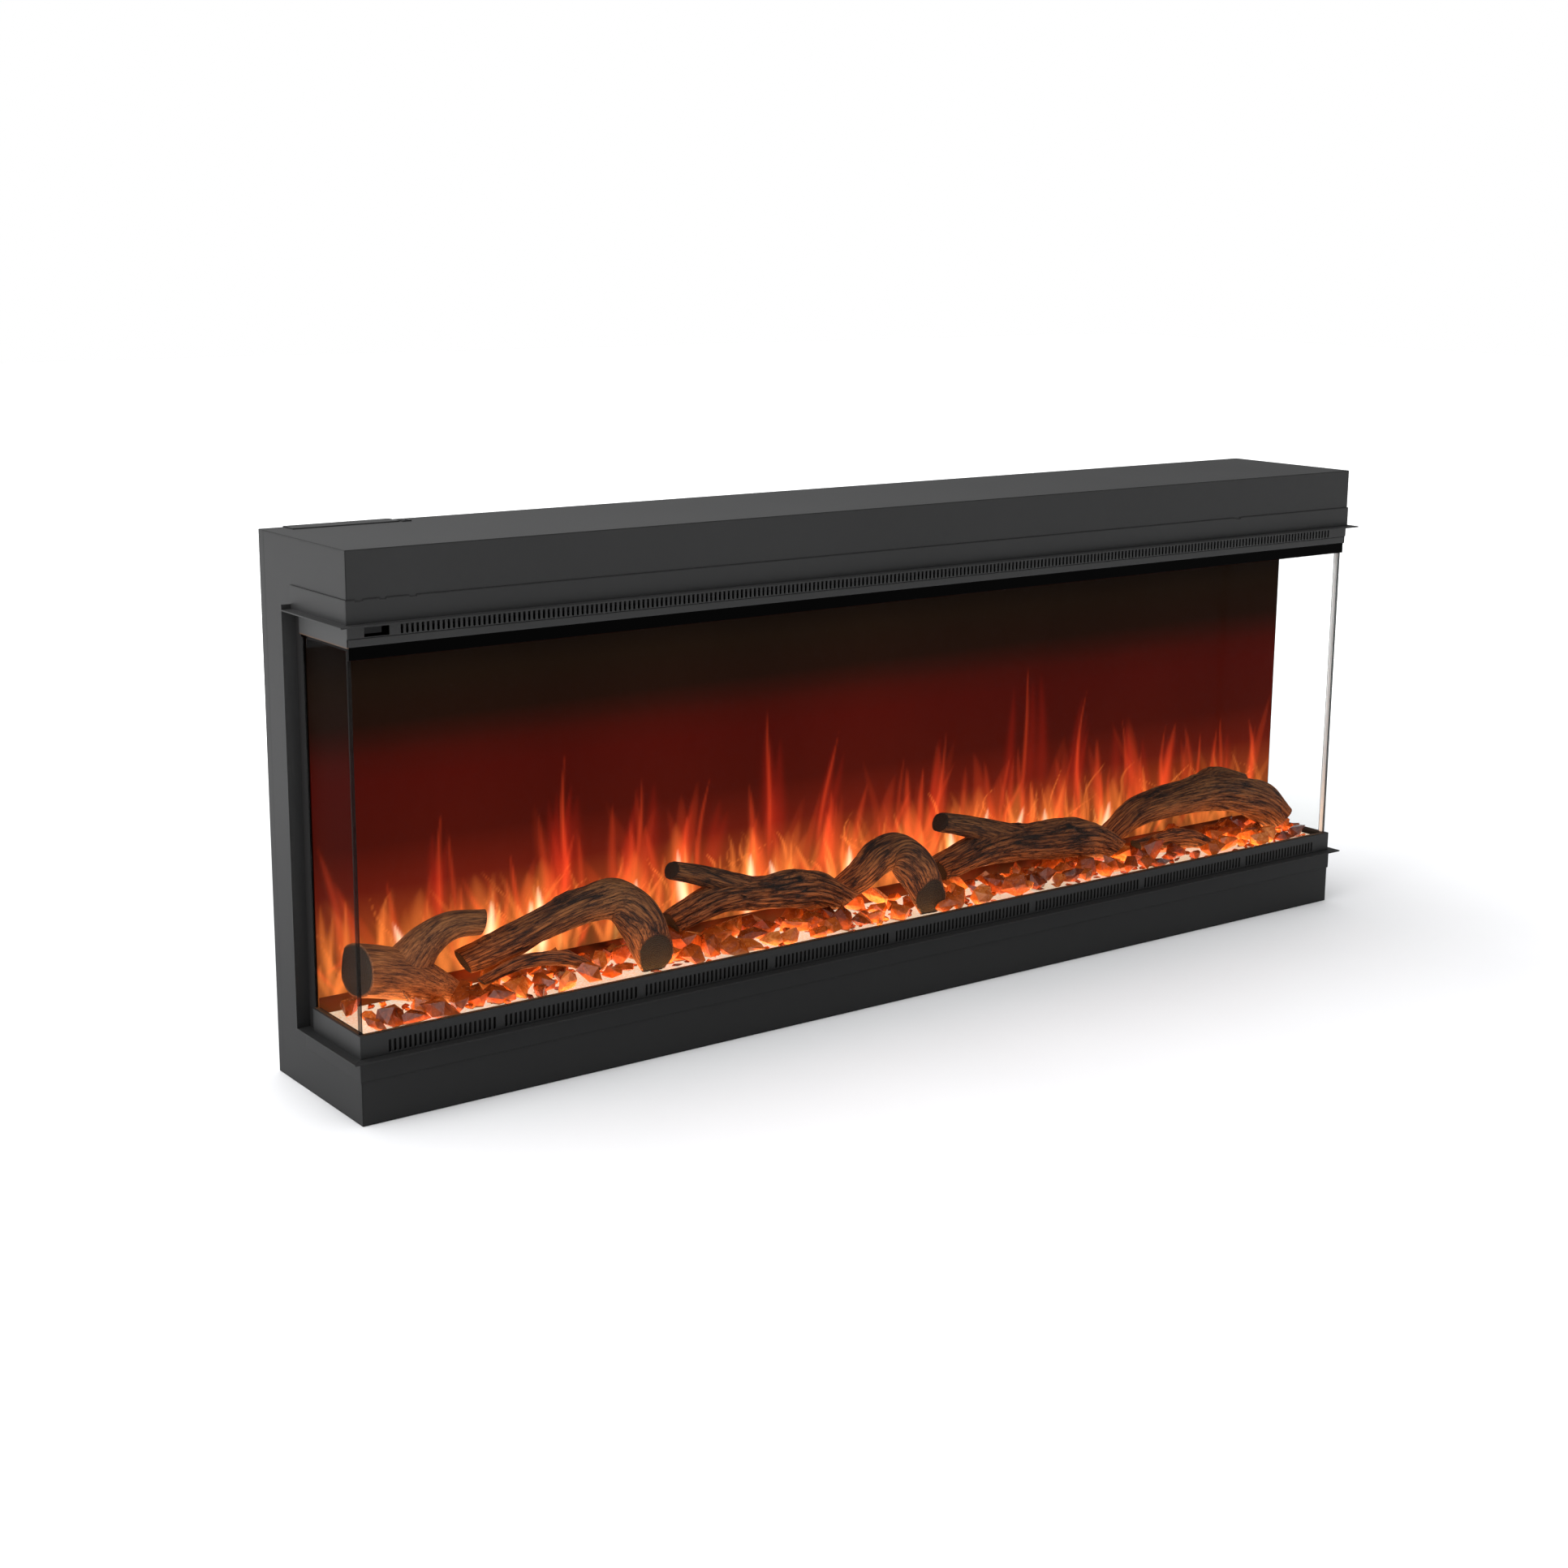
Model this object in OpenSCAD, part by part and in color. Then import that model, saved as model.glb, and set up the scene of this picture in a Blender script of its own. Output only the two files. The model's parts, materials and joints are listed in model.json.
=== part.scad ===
// Three-sided built-in electric fireplace: a folded sheet-metal cabinet with glass on the
// front and both sides, a lit bed of driftwood and stones in front of a semi-mirrored flame
// screen, a turning flame spindle behind the screen and a fan heater in the header.
// +X is to the right, +Y to the back, +Z up. The origin is under the middle of the whole.

/* [Casing] */
// Width of the casing, without the finishing flanges
casing_w = 1500; // [1400:10:2400]
// Height of the casing
casing_h = 610; // [480:5:800]
// Depth of the casing, from its front face to its back
casing_d = 208; // [200:1:320]
// Thickness of the casing sheet
sheet_t = 1.5; // [1:0.1:2]
// Height of the plain plinth, up to the lower finishing flange
plinth_h = 72.5; // [65:0.5:140]
// Height of the plain header, above the upper finishing flange
header_h = 76; // [70:0.5:140]
// Depth of the closed side wall behind each side glass
back_box_d = 78; // [76:1:160]

/* [Finishing trims] */
// How far the finishing flange stands out from the casing
flange_w = 12; // [8:0.5:25]
// Thickness of the flange sheet
flange_t = 1.5; // [1:0.1:2]
// Thickness of the leg that lies on the casing
leg_t = 1.2; // [0.8:0.1:2]
// Height of the leg
leg_h = 25.5; // [15:0.5:40]
// How far the flange is tucked in under the casing
tuck_w = 10; // [6:0.5:12]
// Gap at each mitred corner
mitre_gap = 0.4; // [0.2:0.1:1]
// How far the upright flange stands above the upper flange
upright_rise = 5; // [2:0.5:12]

/* [Glass] */
// Thickness of the glass
glass_t = 4; // [3:0.5:6]
// Distance of the glass behind the casing face
glass_inset = 2; // [1.8:0.1:4]
// Height of the slotted band under the glass
vent_band_h = 25; // [20:0.5:50]
// Height of the band above the glass
outlet_band_h = 21.5; // [18:0.5:50]
// Height of the strip that holds the top of the front glass
retainer_h = 8; // [6:0.5:12]
// Thickness of the glass seals
seal_t = 0.6; // [0.4:0.1:1.5]
// Distance of the flame screen in front of the side posts
screen_lead = 4; // [3:0.5:10]

/* [Grilles] */
// Width of a slot
slot_w = 3; // [2:0.1:4]
// Distance from slot to slot
slot_pitch = 5.97; // [5:0.01:9]
// Height of a slot in the lower band
vent_slot_h = 14; // [8:0.5:18]
// Width of the plain metal between two groups of slots
group_gap = 11.3; // [6:0.1:30]
// Plain metal left at each end of the lower band
vent_margin = 32; // [25:1:80]
// Width of the window for the receiver
window_w = 28.5; // [20:0.5:60]
// Height of the window for the receiver
window_h = 12; // [8:0.5:14]

/* [Fire bed] */
// Depth of the bed surface under the top edge of the lower band
bed_drop = 7; // [3:0.5:15]
// Thickness of the lit bed plate
bed_t = 3; // [2:0.5:6]
// Height of the rail at the foot of the flame screen, above the bed
foot_rail_h = 18; // [8:1:40]
// Distance between neighbouring stones
stone_pitch = 23; // [18:1:50]
// Largest radius of a stone
stone_r = 9; // [5:0.5:9]

/* [Flame drive] */
// Diameter of the spindle rod
spindle_d = 6; // [4:0.5:10]
// Radius that the reflecting blades reach
blade_r = 19; // [10:0.5:24]
// Height of the spindle axis above the firebox floor
spindle_rise = 46; // [40:1:80]
// Radial clearance of a shaft in its bearing
run_gap = 0.05; // [0.02:0.01:0.1]

/* [Heater] */
// Length of the blower wheel
wheel_l = 300; // [200:10:500]
// Radius of the blower wheel
wheel_r = 26; // [18:0.5:27]
// Diameter of the blower shaft
shaft_d = 6; // [4:0.5:10]
// Gap between the blower wheel and its casing
wheel_gap = 3; // [2:0.5:5]

/* [Fixing and wiring] */
// Distance between the wall fixing holes, across
fixing_x = 1200; // [900:10:1900]
// Distance between the wall fixing holes, up and down
fixing_z = 500; // [380:5:520]
// Diameter of a wall fixing hole
fixing_d = 7; // [5:0.5:10]
// Diameter of the hole through the cable gland
cable_d = 8.4; // [6:0.1:12]
// Outer diameter of the cable gland where it passes through the back
gland_d = 16; // [14:0.5:20]
// Length of the cable gland
gland_l = 18; // [14:1:30]
// Angle between the two positions of the main switch
switch_throw = 20; // [10:1:24]

/* [Hidden] */
$fn = 48;

// Levels, from the floor up
plinth_top = plinth_h;
sill_z = plinth_top + flange_t;
glass_sill = sill_z + vent_band_h;
upper_flange_z = casing_h - header_h - flange_t;
ceiling_z = upper_flange_z - outlet_band_h;
grille_z = ceiling_z + retainer_h + 0.5;
bed_z = glass_sill - bed_drop;
tray_top = bed_z - bed_t;
floor_z = plinth_top - sheet_t;
roof_under = casing_h - sheet_t;

// Faces, from the front to the back
front_y = -(casing_d + flange_w) / 2 + flange_w;
back_y = front_y + casing_d;
inner_front = front_y + sheet_t;
inner_back = back_y - sheet_t;
glass_out_y = front_y + glass_inset;
glass_in_y = glass_out_y + glass_t;
upright_y = back_y - back_box_d;
post_w = 16;
post_y = upright_y - post_w;
screen_t = 3;
screen_y = post_y - screen_lead + 2;
rail_gap = 0.2;
rail_t = 1.5;

// Side faces, all given for the right-hand side
side_x = casing_w / 2;
inner_x = side_x - sheet_t;
glass_out_x = side_x - glass_inset;
glass_in_x = glass_out_x - glass_t;
fit_gap = 0.2;
lip_w = 15;

// Flame drive
spindle_y = screen_y + 46;
spindle_z = plinth_top + spindle_rise;
bearing_x = side_x - 45;
bearing_w = 10;
blade_t = 0.6;
blade_l = 24;
blade_step = 30;
blade_turn = 50;
board_t = 1.6;

// Heater, centred in the header
header_floor_z = ceiling_z;
wheel_y = screen_y + 31;
wheel_z = ceiling_z + 46;
wheel_blades = 24;
casing_in_r = wheel_r + wheel_gap;
plate_t = 1.5;
end_gap = 2.5;
plate_x = wheel_l / 2 + end_gap;

// Wiring
gland_x = -side_x + 83;
gland_z = casing_h - 38;
hatch_x0 = -side_x + 28;
hatch_w = 126;
hatch_d = 26;
hatch_t = 1.2;
switch_x = hatch_x0 + hatch_w + 8;
switch_y = back_y - 21;
switch_w = 8.8;
switch_l = 13.7;
rocker_w = 6.4;
rocker_l = 10;
rocker_pin_d = 2;

// A box given by its limits along x, y and z
module slab(x, y, z) {
    translate([x[0], y[0], z[0]]) cube([x[1] - x[0], y[1] - y[0], z[1] - z[0]]);
}

// A round bar along x
module bar_x(x, y, z, r) {
    translate([x[0], y, z]) rotate([0, 90, 0]) cylinder(r = r, h = x[1] - x[0]);
}

// A round bar along y
module bar_y(x, y, z, r) {
    translate([x, y[0], z]) rotate([-90, 0, 0]) cylinder(r = r, h = y[1] - y[0]);
}

// The same shape on the left, made from the one on the right
module on_left() {
    mirror([1, 0, 0]) children();
}

/* ---- Casing ---- */

screw_d = 4;
screw_head_d = 7.6;
screw_l = 7;
screw_rows = [for (i = [0:5]) 40 + i * (casing_h - 80) / 5];

module screw_places() {
    for (z = screw_rows, s = [-1, 1]) translate([s * (inner_x - lip_w / 2), 0, z]) children();
}

module top_cover() {
    color([0.2, 0.2, 0.21]) difference() {
        union() {
            slab([-side_x, side_x], [front_y, back_y], [roof_under, casing_h]);
            slab([-side_x, side_x], [front_y, inner_front], [upper_flange_z + flange_t, roof_under]);
        }
        // Wiring opening under the hatch
        slab([hatch_x0 + 8, hatch_x0 + hatch_w - 8], [back_y - hatch_d + 5, back_y - 7],
             [roof_under - 1, casing_h + 1]);
        translate([switch_x, switch_y, casing_h]) cube([switch_w, switch_l, 10], center = true);
    }
}

// C-shaped sheet: header side, back-box side and plinth side in one, with a rear lip
module side_panel() {
    color([0.3, 0.3, 0.31]) difference() {
        union() {
            slab([inner_x, side_x], [inner_front, inner_back], [sheet_t, roof_under]);
            slab([inner_x - lip_w, inner_x], [inner_back - sheet_t, inner_back],
                 [sheet_t, roof_under]);
        }
        slab([inner_x - 1, side_x + 1], [front_y - 1, upright_y + flange_t],
             [plinth_top, upper_flange_z + flange_t]);
        for (z = screw_rows)
            bar_y(inner_x - lip_w / 2, [inner_back - sheet_t - 1, inner_back + 1], z, screw_d / 2);
    }
}

module base_pan() {
    color([0.18, 0.18, 0.19]) {
        slab([-side_x, side_x], [front_y, back_y], [0, sheet_t]);
        slab([-side_x, side_x], [front_y, inner_front], [sheet_t, plinth_top]);
    }
}

module back_panel() {
    mid_z = casing_h / 2;
    color([0.22, 0.22, 0.23]) difference() {
        slab([-side_x, side_x], [inner_back, back_y], [sheet_t, roof_under]);
        for (sx = [-1, 1], sz = [-1, 1])
            bar_y(sx * fixing_x / 2, [inner_back - 1, back_y + 1], mid_z + sz * fixing_z / 2,
                  fixing_d / 2);
        bar_y(gland_x, [inner_back - 1, back_y + 1], gland_z, gland_d / 2);
        screw_places() bar_y(0, [inner_back - 1, back_y + 1], 0, screw_head_d / 2);
    }
}

module casing_screws() {
    color("silver") screw_places() {
        bar_y(0, [inner_back, back_y], 0, screw_head_d / 2);
        bar_y(0, [inner_back - screw_l, inner_back], 0, screw_d / 2);
    }
}

module terminal_hatch() {
    color([0.2, 0.2, 0.21])
        slab([hatch_x0, hatch_x0 + hatch_w], [back_y - hatch_d, back_y],
             [casing_h, casing_h + hatch_t]);
}

/* ---- Finishing trims ---- */

outer_x = side_x + flange_w;
outer_y = front_y - flange_w;
tuck_x = side_x - tuck_w;
tuck_y = front_y + tuck_w;

// Slots in the upper edge of the front leg, where a driver reaches the glass strip's screws
driver_slots = [[-side_x + 14, 9], [-side_x + 40.5, 7], [-side_x + 74.5, 8], [side_x - 215.5, 9]];
driver_slot_h = 2;

module mitred_front_flange(z) {
    g = mitre_gap / 2;
    translate([0, 0, z]) linear_extrude(flange_t) polygon([
        [-outer_x + g, outer_y], [outer_x - g, outer_y],
        [tuck_x - g, tuck_y], [-tuck_x + g, tuck_y]]);
}

module mitred_side_flange(z, rear_y) {
    g = mitre_gap / 2;
    translate([0, 0, z]) linear_extrude(flange_t) polygon([
        [outer_x, outer_y + g], [outer_x, rear_y], [tuck_x, rear_y], [tuck_x, tuck_y + g]]);
}

module top_trim_front() {
    leg_z = upper_flange_z + flange_t;
    color([0.2, 0.2, 0.21]) {
        mitred_front_flange(upper_flange_z);
        difference() {
            slab([-side_x - leg_t, side_x + leg_t], [front_y - leg_t, front_y],
                 [leg_z, leg_z + leg_h]);
            for (s = driver_slots)
                slab([s[0] - s[1] / 2, s[0] + s[1] / 2], [front_y - leg_t - 1, front_y + 1],
                     [leg_z + leg_h - driver_slot_h, leg_z + leg_h + 1]);
        }
    }
}

module top_trim_side() {
    leg_z = upper_flange_z + flange_t;
    color([0.3, 0.3, 0.31]) {
        mitred_side_flange(upper_flange_z, upright_y);
        slab([side_x, side_x + leg_t], [front_y + mitre_gap / 2, upright_y],
             [leg_z, leg_z + leg_h]);
    }
}

module bottom_trim_front() {
    color([0.18, 0.18, 0.19]) {
        mitred_front_flange(plinth_top);
        slab([-side_x - leg_t, side_x + leg_t], [front_y - leg_t, front_y],
             [sill_z - leg_h, plinth_top]);
    }
}

module bottom_trim_side() {
    rear = upright_y + flange_t;
    color([0.26, 0.26, 0.27]) {
        mitred_side_flange(plinth_top, rear);
        slab([side_x, side_x + leg_t], [front_y + mitre_gap / 2, rear],
             [sill_z - leg_h, plinth_top]);
    }
}

module upright_trim() {
    color([0.25, 0.25, 0.26]) {
        slab([side_x, outer_x], [upright_y, upright_y + flange_t],
             [sill_z, upper_flange_z + flange_t + upright_rise]);
        slab([side_x - lip_w, side_x], [upright_y, upright_y + flange_t],
             [sill_z, upper_flange_z]);
        slab([inner_x - flange_t, inner_x], [upright_y + flange_t, upright_y + flange_t + leg_h],
             [sill_z, upper_flange_z]);
    }
}

/* ---- Bands above and below the glass ---- */

// Slot outline with round ends, standing on y = 0
module slot_outline(h) {
    r = slot_w / 2;
    translate([-r, r]) square([slot_w, h - slot_w]);
    translate([0, r]) circle(r = r, $fn = 24);
    translate([0, h - r]) circle(r = r, $fn = 24);
}

// Slot outline that is open at the top and round at the bottom
module open_slot_outline(h) {
    r = slot_w / 2;
    translate([-r, r]) square([slot_w, h]);
    translate([0, r]) circle(r = r, $fn = 24);
}

// A sheet outline drawn in x and z becomes a front sheet
module front_sheet() {
    translate([0, inner_front, 0]) rotate([90, 0, 0]) linear_extrude(sheet_t) children();
}

function total(v, n) = n < 0 ? 0 : v[n] + total(v, n - 1);

// Relative lengths of the slot groups in the lower band, from left to right
group_share = [22, 29, 29, 29, 37, 31, 31, 23];
groups = len(group_share);
full_span = (total(group_share, groups - 1) - groups) * slot_pitch + groups * slot_w
            + (groups - 1) * group_gap;
span_scale = (casing_w - 2 * vent_margin) / full_span;
group_count = [for (s = group_share) floor(s * span_scale)];
group_len = [for (n = group_count) (n - 1) * slot_pitch + slot_w];
group_span = total(group_len, groups - 1) + (groups - 1) * group_gap;
group_x = [for (i = [0:groups - 1]) -group_span / 2 + total(group_len, i - 1) + i * group_gap];
vent_slot_z = sill_z + 2;

module vent_band_front() {
    color([0.16, 0.16, 0.17]) {
        front_sheet() difference() {
            translate([-side_x, sill_z]) square([casing_w, vent_band_h]);
            for (g = [0:groups - 1], i = [0:group_count[g] - 1])
                translate([group_x[g] + slot_w / 2 + i * slot_pitch, vent_slot_z])
                    slot_outline(vent_slot_h);
        }
        slab([-inner_x, inner_x], [inner_front, glass_in_y + 2],
             [glass_sill - sheet_t, glass_sill]);
    }
}

module vent_band_side() {
    color([0.24, 0.24, 0.25]) {
        slab([inner_x, side_x], [inner_front, post_y], [sill_z, glass_sill]);
        slab([glass_in_x - 2, inner_x], [glass_in_y + 2, screen_y - rail_t - 2 * rail_gap],
             [glass_sill - sheet_t, glass_sill]);
    }
}

window_x = -side_x + 19;
grille_x0 = -side_x + 60;
grille_x1 = side_x - 30;
outlet_slots = floor((grille_x1 - grille_x0 - slot_w) / slot_pitch) + 1;
window_z = upper_flange_z - window_h;

module outlet_grille() {
    r = slot_w / 2;
    color([0.18, 0.18, 0.19]) front_sheet() difference() {
        translate([-side_x, grille_z]) square([casing_w, upper_flange_z - grille_z]);
        translate([window_x, window_z]) square([window_w, window_h + 1]);
        for (i = [0:outlet_slots - 1])
            translate([grille_x0 + r + i * slot_pitch, grille_z + 1])
                open_slot_outline(upper_flange_z - grille_z);
    }
}

module receiver_lens() {
    depth = 3;
    color([0.08, 0.08, 0.09])
        slab([window_x + 0.5, window_x + window_w * 0.76],
             [inner_front + depth, inner_front + depth + 2],
             [window_z + 2.5, upper_flange_z - 0.5]);
}

module header_band_side() {
    color([0.28, 0.28, 0.29])
        slab([inner_x, side_x], [inner_front, post_y], [ceiling_z, upper_flange_z]);
}

module glass_retainer() {
    color([0.22, 0.22, 0.23])
        slab([-inner_x, inner_x], [front_y, glass_out_y - 0.1],
             [ceiling_z, ceiling_z + retainer_h]);
}

/* ---- Glass ---- */

glass_z0 = glass_sill + seal_t;
glass_z1 = ceiling_z + retainer_h - 2;

module front_glass() {
    color([0.8, 0.9, 0.9, 0.25])
        slab([-glass_out_x, glass_out_x], [glass_out_y, glass_in_y], [glass_z0, glass_z1]);
}

module side_glass() {
    color([0.8, 0.9, 0.9, 0.25])
        slab([glass_in_x, glass_out_x], [glass_in_y + fit_gap, post_y], [glass_z0, glass_z1]);
}

// Clear strips under the panes, and amber strips along the top of the side panes
module glass_seals() {
    color([0.45, 0.3, 0.15]) {
        slab([-glass_in_x, glass_in_x], [glass_out_y + 0.5, glass_in_y], [glass_sill, glass_z0]);
        for (s = [0, 1]) mirror([s, 0, 0]) {
            slab([glass_in_x + 0.5, glass_out_x - 0.5], [glass_in_y + 2, post_y],
                 [glass_sill, glass_z0]);
            slab([glass_out_x, side_x - 0.3], [inner_front, post_y],
                 [ceiling_z - 1.2, ceiling_z]);
        }
    }
}

/* ---- Firebox ---- */

module opening_post() {
    web_x = glass_in_x + 1;
    color([0.05, 0.05, 0.05]) {
        slab([web_x, web_x + sheet_t], [post_y, upright_y], [sill_z, upper_flange_z]);
        slab([side_x - lip_w, web_x], [upright_y - sheet_t, upright_y],
             [sill_z, upper_flange_z]);
    }
}

module firebox_floor() {
    color([0.2, 0.2, 0.2])
        slab([-inner_x, inner_x], [inner_front, inner_back - sheet_t], [floor_z, plinth_top]);
}

module header_floor() {
    color([0.12, 0.12, 0.12])
        slab([-side_x + lip_w + fit_gap, side_x - lip_w - fit_gap],
             [glass_in_y + fit_gap, inner_back - sheet_t], [ceiling_z - sheet_t, ceiling_z]);
}

screen_x = glass_in_x - 0.5;
head_rail_h = 15;

module flame_screen() {
    color([0.25, 0.05, 0.03])
        slab([-screen_x, screen_x], [screen_y, screen_y + screen_t],
             [sill_z + rail_t, ceiling_z - sheet_t - rail_t]);
}

// U-shaped rail around an edge of the screen, from its closed side z0 to its open side z1
module screen_rail(z0, z1) {
    front = screen_y - rail_gap - rail_t;
    back = screen_y + screen_t + rail_gap;
    closed = z1 > z0 ? [z0, z0 + rail_t] : [z0 - rail_t, z0];
    legs = z1 > z0 ? [z0 + rail_t, z1] : [z1, z0 - rail_t];
    slab([-screen_x, screen_x], [front, back + rail_t], closed);
    slab([-screen_x, screen_x], [front, front + rail_t], legs);
    slab([-screen_x, screen_x], [back, back + rail_t], legs);
}

module screen_foot_rail() {
    color([0.35, 0.2, 0.1]) screen_rail(sill_z, bed_z + foot_rail_h);
}

module screen_head_rail() {
    color([0.1, 0.1, 0.1]) screen_rail(ceiling_z - sheet_t, ceiling_z - sheet_t - head_rail_h);
}

bed_x = glass_in_x - 2;
bed_y0 = glass_in_y + 1;
bed_y1 = screen_y - rail_gap - rail_t - 0.2;
tray_wall = 1.2;

module ember_tray() {
    color([0.1, 0.1, 0.1]) difference() {
        slab([-bed_x, bed_x], [bed_y0, bed_y1], [sill_z, tray_top]);
        slab([-bed_x + tray_wall, bed_x - tray_wall], [bed_y0 + tray_wall, bed_y1 - tray_wall],
             [sill_z + tray_wall, tray_top + 1]);
    }
}

// A light strip: a long board with a row of square light chips on top
module light_board(x, y, z, chip_pitch) {
    chip = 3;
    slab([-x, x], y, [z, z + board_t]);
    n = floor((2 * x - 20) / chip_pitch);
    for (i = [0:n])
        translate([(i - n / 2) * chip_pitch, (y[0] + y[1]) / 2, z + board_t + 0.5])
            cube([chip, chip, 1], center = true);
}

module ember_light_board() {
    mid = (bed_y0 + bed_y1) / 2;
    color("orange")
        light_board(bed_x - 10, [mid - 12, mid + 12], sill_z + tray_wall, 50);
}

module ember_bed() {
    color([1, 0.8, 0.6]) slab([-bed_x, bed_x], [bed_y0, bed_y1], [tray_top, bed_z]);
}

/* ---- Driftwood ---- */

// Each log is a chain of points: place along x from the log's own anchor, distance behind
// the casing front, height above the bed, and radius. Anchors are shares of the half width.
forked_x = -0.867 * side_x;
forked_trunk = [[-54, 82, 45, 22], [-2, 76, 31, 24], [32, 66, 22, 18], [58, 56, 8, 6]];
forked_branch = [[-2, 76, 40, 17], [26, 80, 69, 17], [51, 78, 85, 16], [92, 76, 80, 15]];
arch_left_x = -0.632 * side_x;
arch_left = [[-96, 94, 34, 12], [-50, 86, 51, 16], [0, 76, 69, 19], [51, 62, 85, 21],
             [88, 50, 82, 23], [110, 40, 52, 24], [112, 34, 24, 23]];
twig_left = [[-92, 72, 16, 7], [-47, 62, 32, 9], [0, 50, 30, 9], [42, 42, 10, 6]];
branched_left_x = -0.24 * side_x;
branched_trunk = [[-130, 84, 35, 15], [-65, 80, 53, 21], [0, 76, 53, 23], [70, 70, 47, 24],
                  [127, 62, 16, 10]];
branched_stub = [[-46, 80, 68, 13], [-86, 84, 86, 11], [-126, 88, 98, 9]];
arch_middle_x = 0.005 * side_x;
arch_middle = [[-50, 90, 31, 12], [-29, 82, 44, 16], [0, 60, 77, 18], [27, 46, 76, 21],
               [46, 37, 48, 22], [38, 31, 20, 19]];
branched_right_x = 0.333 * side_x;
branched_right_scale = 1.17;
arch_right_x = 0.787 * side_x;
arch_right = [[-172, 86, 46, 16], [-135, 80, 66, 20], [-50, 74, 74, 24], [9, 66, 73, 27],
              [68, 56, 57, 28], [113, 46, 24, 22]];
twig_right_x = 0.667 * side_x;
twig_right = [[-59, 70, 22, 10], [-8, 62, 21, 12], [23, 54, 21, 13], [68, 44, 8, 7]];

function fire_point(x0, p) = [x0 + p[0], front_y + p[1], bed_z + p[2]];

log_sides = 14;

// A straight tapered piece of wood between two points, with flat sides and sawn ends
module limb(a, b, ra, rb) {
    d = b - a;
    flat = norm([d[0], d[1]]);
    hull()
        translate(a) rotate([0, atan2(flat, d[2]), atan2(d[1], d[0])])
            cylinder(r1 = ra, r2 = rb, h = norm(d), $fn = log_sides);
}

module log_chain(x0, chain) {
    last = len(chain) - 1;
    for (i = [0:last - 1])
        limb(fire_point(x0, chain[i]), fire_point(x0, chain[i + 1]), chain[i][3], chain[i + 1][3]);
    for (i = [1:last - 1])
        hull() translate(fire_point(x0, chain[i])) sphere(r = chain[i][3] * 1.03, $fn = log_sides);
}

// The same chain, larger, and still at its own height above the bed and behind the glass
function grown(chain, k) = [for (p = chain)
    [p[0] * k, 98 - (98 - p[1]) * k, p[2], p[3] * k]];

module log_forked_left() {
    color("saddlebrown") {
        log_chain(forked_x, forked_trunk);
        log_chain(forked_x, forked_branch);
    }
}

module log_arch_left() {
    color("sienna") log_chain(arch_left_x, arch_left);
}

module log_twig_left() {
    color("peru") log_chain(arch_left_x, twig_left);
}

module log_branched_left() {
    color("saddlebrown") {
        log_chain(branched_left_x, branched_trunk);
        log_chain(branched_left_x, branched_stub);
    }
}

module log_arch_middle() {
    color("sienna") log_chain(arch_middle_x, arch_middle);
}

module log_branched_right() {
    color("saddlebrown") {
        log_chain(branched_right_x, grown(branched_trunk, branched_right_scale));
        log_chain(branched_right_x, grown(branched_stub, branched_right_scale));
    }
}

module log_arch_right() {
    color("sienna") log_chain(arch_right_x, arch_right);
}

module log_twig_right() {
    color("peru") log_chain(twig_right_x, twig_right);
}

// Every low part of the wood, as [x, y, radius], which the stones keep away from
function low_wood(x0, chain) = [for (p = chain) if (p[2] - p[3] < 26)
    [x0 + p[0], front_y + p[1], p[3]]];
function low_between(x0, chain) = [for (i = [0:len(chain) - 2]) for (k = [1:3])
    let (p = chain[i] * (1 - k / 4) + chain[i + 1] * k / 4) if (p[2] - p[3] < 26)
    [x0 + p[0], front_y + p[1], p[3]]];
chains = [
    [forked_x, forked_trunk], [arch_left_x, arch_left], [arch_left_x, twig_left],
    [branched_left_x, branched_trunk], [arch_middle_x, arch_middle],
    [branched_right_x, grown(branched_trunk, branched_right_scale)],
    [arch_right_x, arch_right], [twig_right_x, twig_right]];
wood = [for (c = chains) each concat(low_wood(c[0], c[1]), low_between(c[0], c[1]))];

function clear_of_wood(x, y) =
    min([for (w = wood) norm([x - w[0], y - w[1]]) - w[2]]) > stone_r + 1;

module ember_stones() {
    nx = floor((2 * bed_x - 2 * stone_r - 8) / stone_pitch);
    ny = floor((bed_y1 - bed_y0 - 2 * stone_r - 8) / stone_pitch);
    jitter = (stone_pitch - 2 * stone_r) / 2 - 0.4;
    count = (nx + 1) * (ny + 1);
    shift_x = rands(-jitter, jitter, count, 3);
    shift_y = rands(-jitter, jitter, count, 5);
    size = rands(0.65, 1, count, 7);
    turn = rands(0, 360, count, 11);
    tall = rands(0.7, 1.3, count, 13);
    mid_y = (bed_y0 + bed_y1) / 2;
    color("darkorange") for (i = [0:nx], j = [0:ny]) {
        k = i * (ny + 1) + j;
        x = (i - nx / 2) * stone_pitch + shift_x[k];
        y = mid_y + (j - ny / 2) * stone_pitch + shift_y[k];
        if (clear_of_wood(x, y))
            translate([x, y, bed_z]) rotate(turn[k])
                cylinder(r = stone_r * size[k], h = stone_r * tall[k], $fn = 5 + k % 3);
    }
}

/* ---- Flame drive ---- */

module flame_light_board() {
    stand = 6;
    y = [spindle_y + 12, spindle_y + 32];
    color("green") {
        light_board(side_x - 60, y, plinth_top + stand, 25);
        for (i = [-4:4])
            translate([i * (side_x - 75) / 4, spindle_y + 22, plinth_top])
                cylinder(r = 3, h = stand, $fn = 24);
    }
}

motor_x0 = side_x - 14;
motor_l = 20;
motor_socket = 8;

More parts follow.
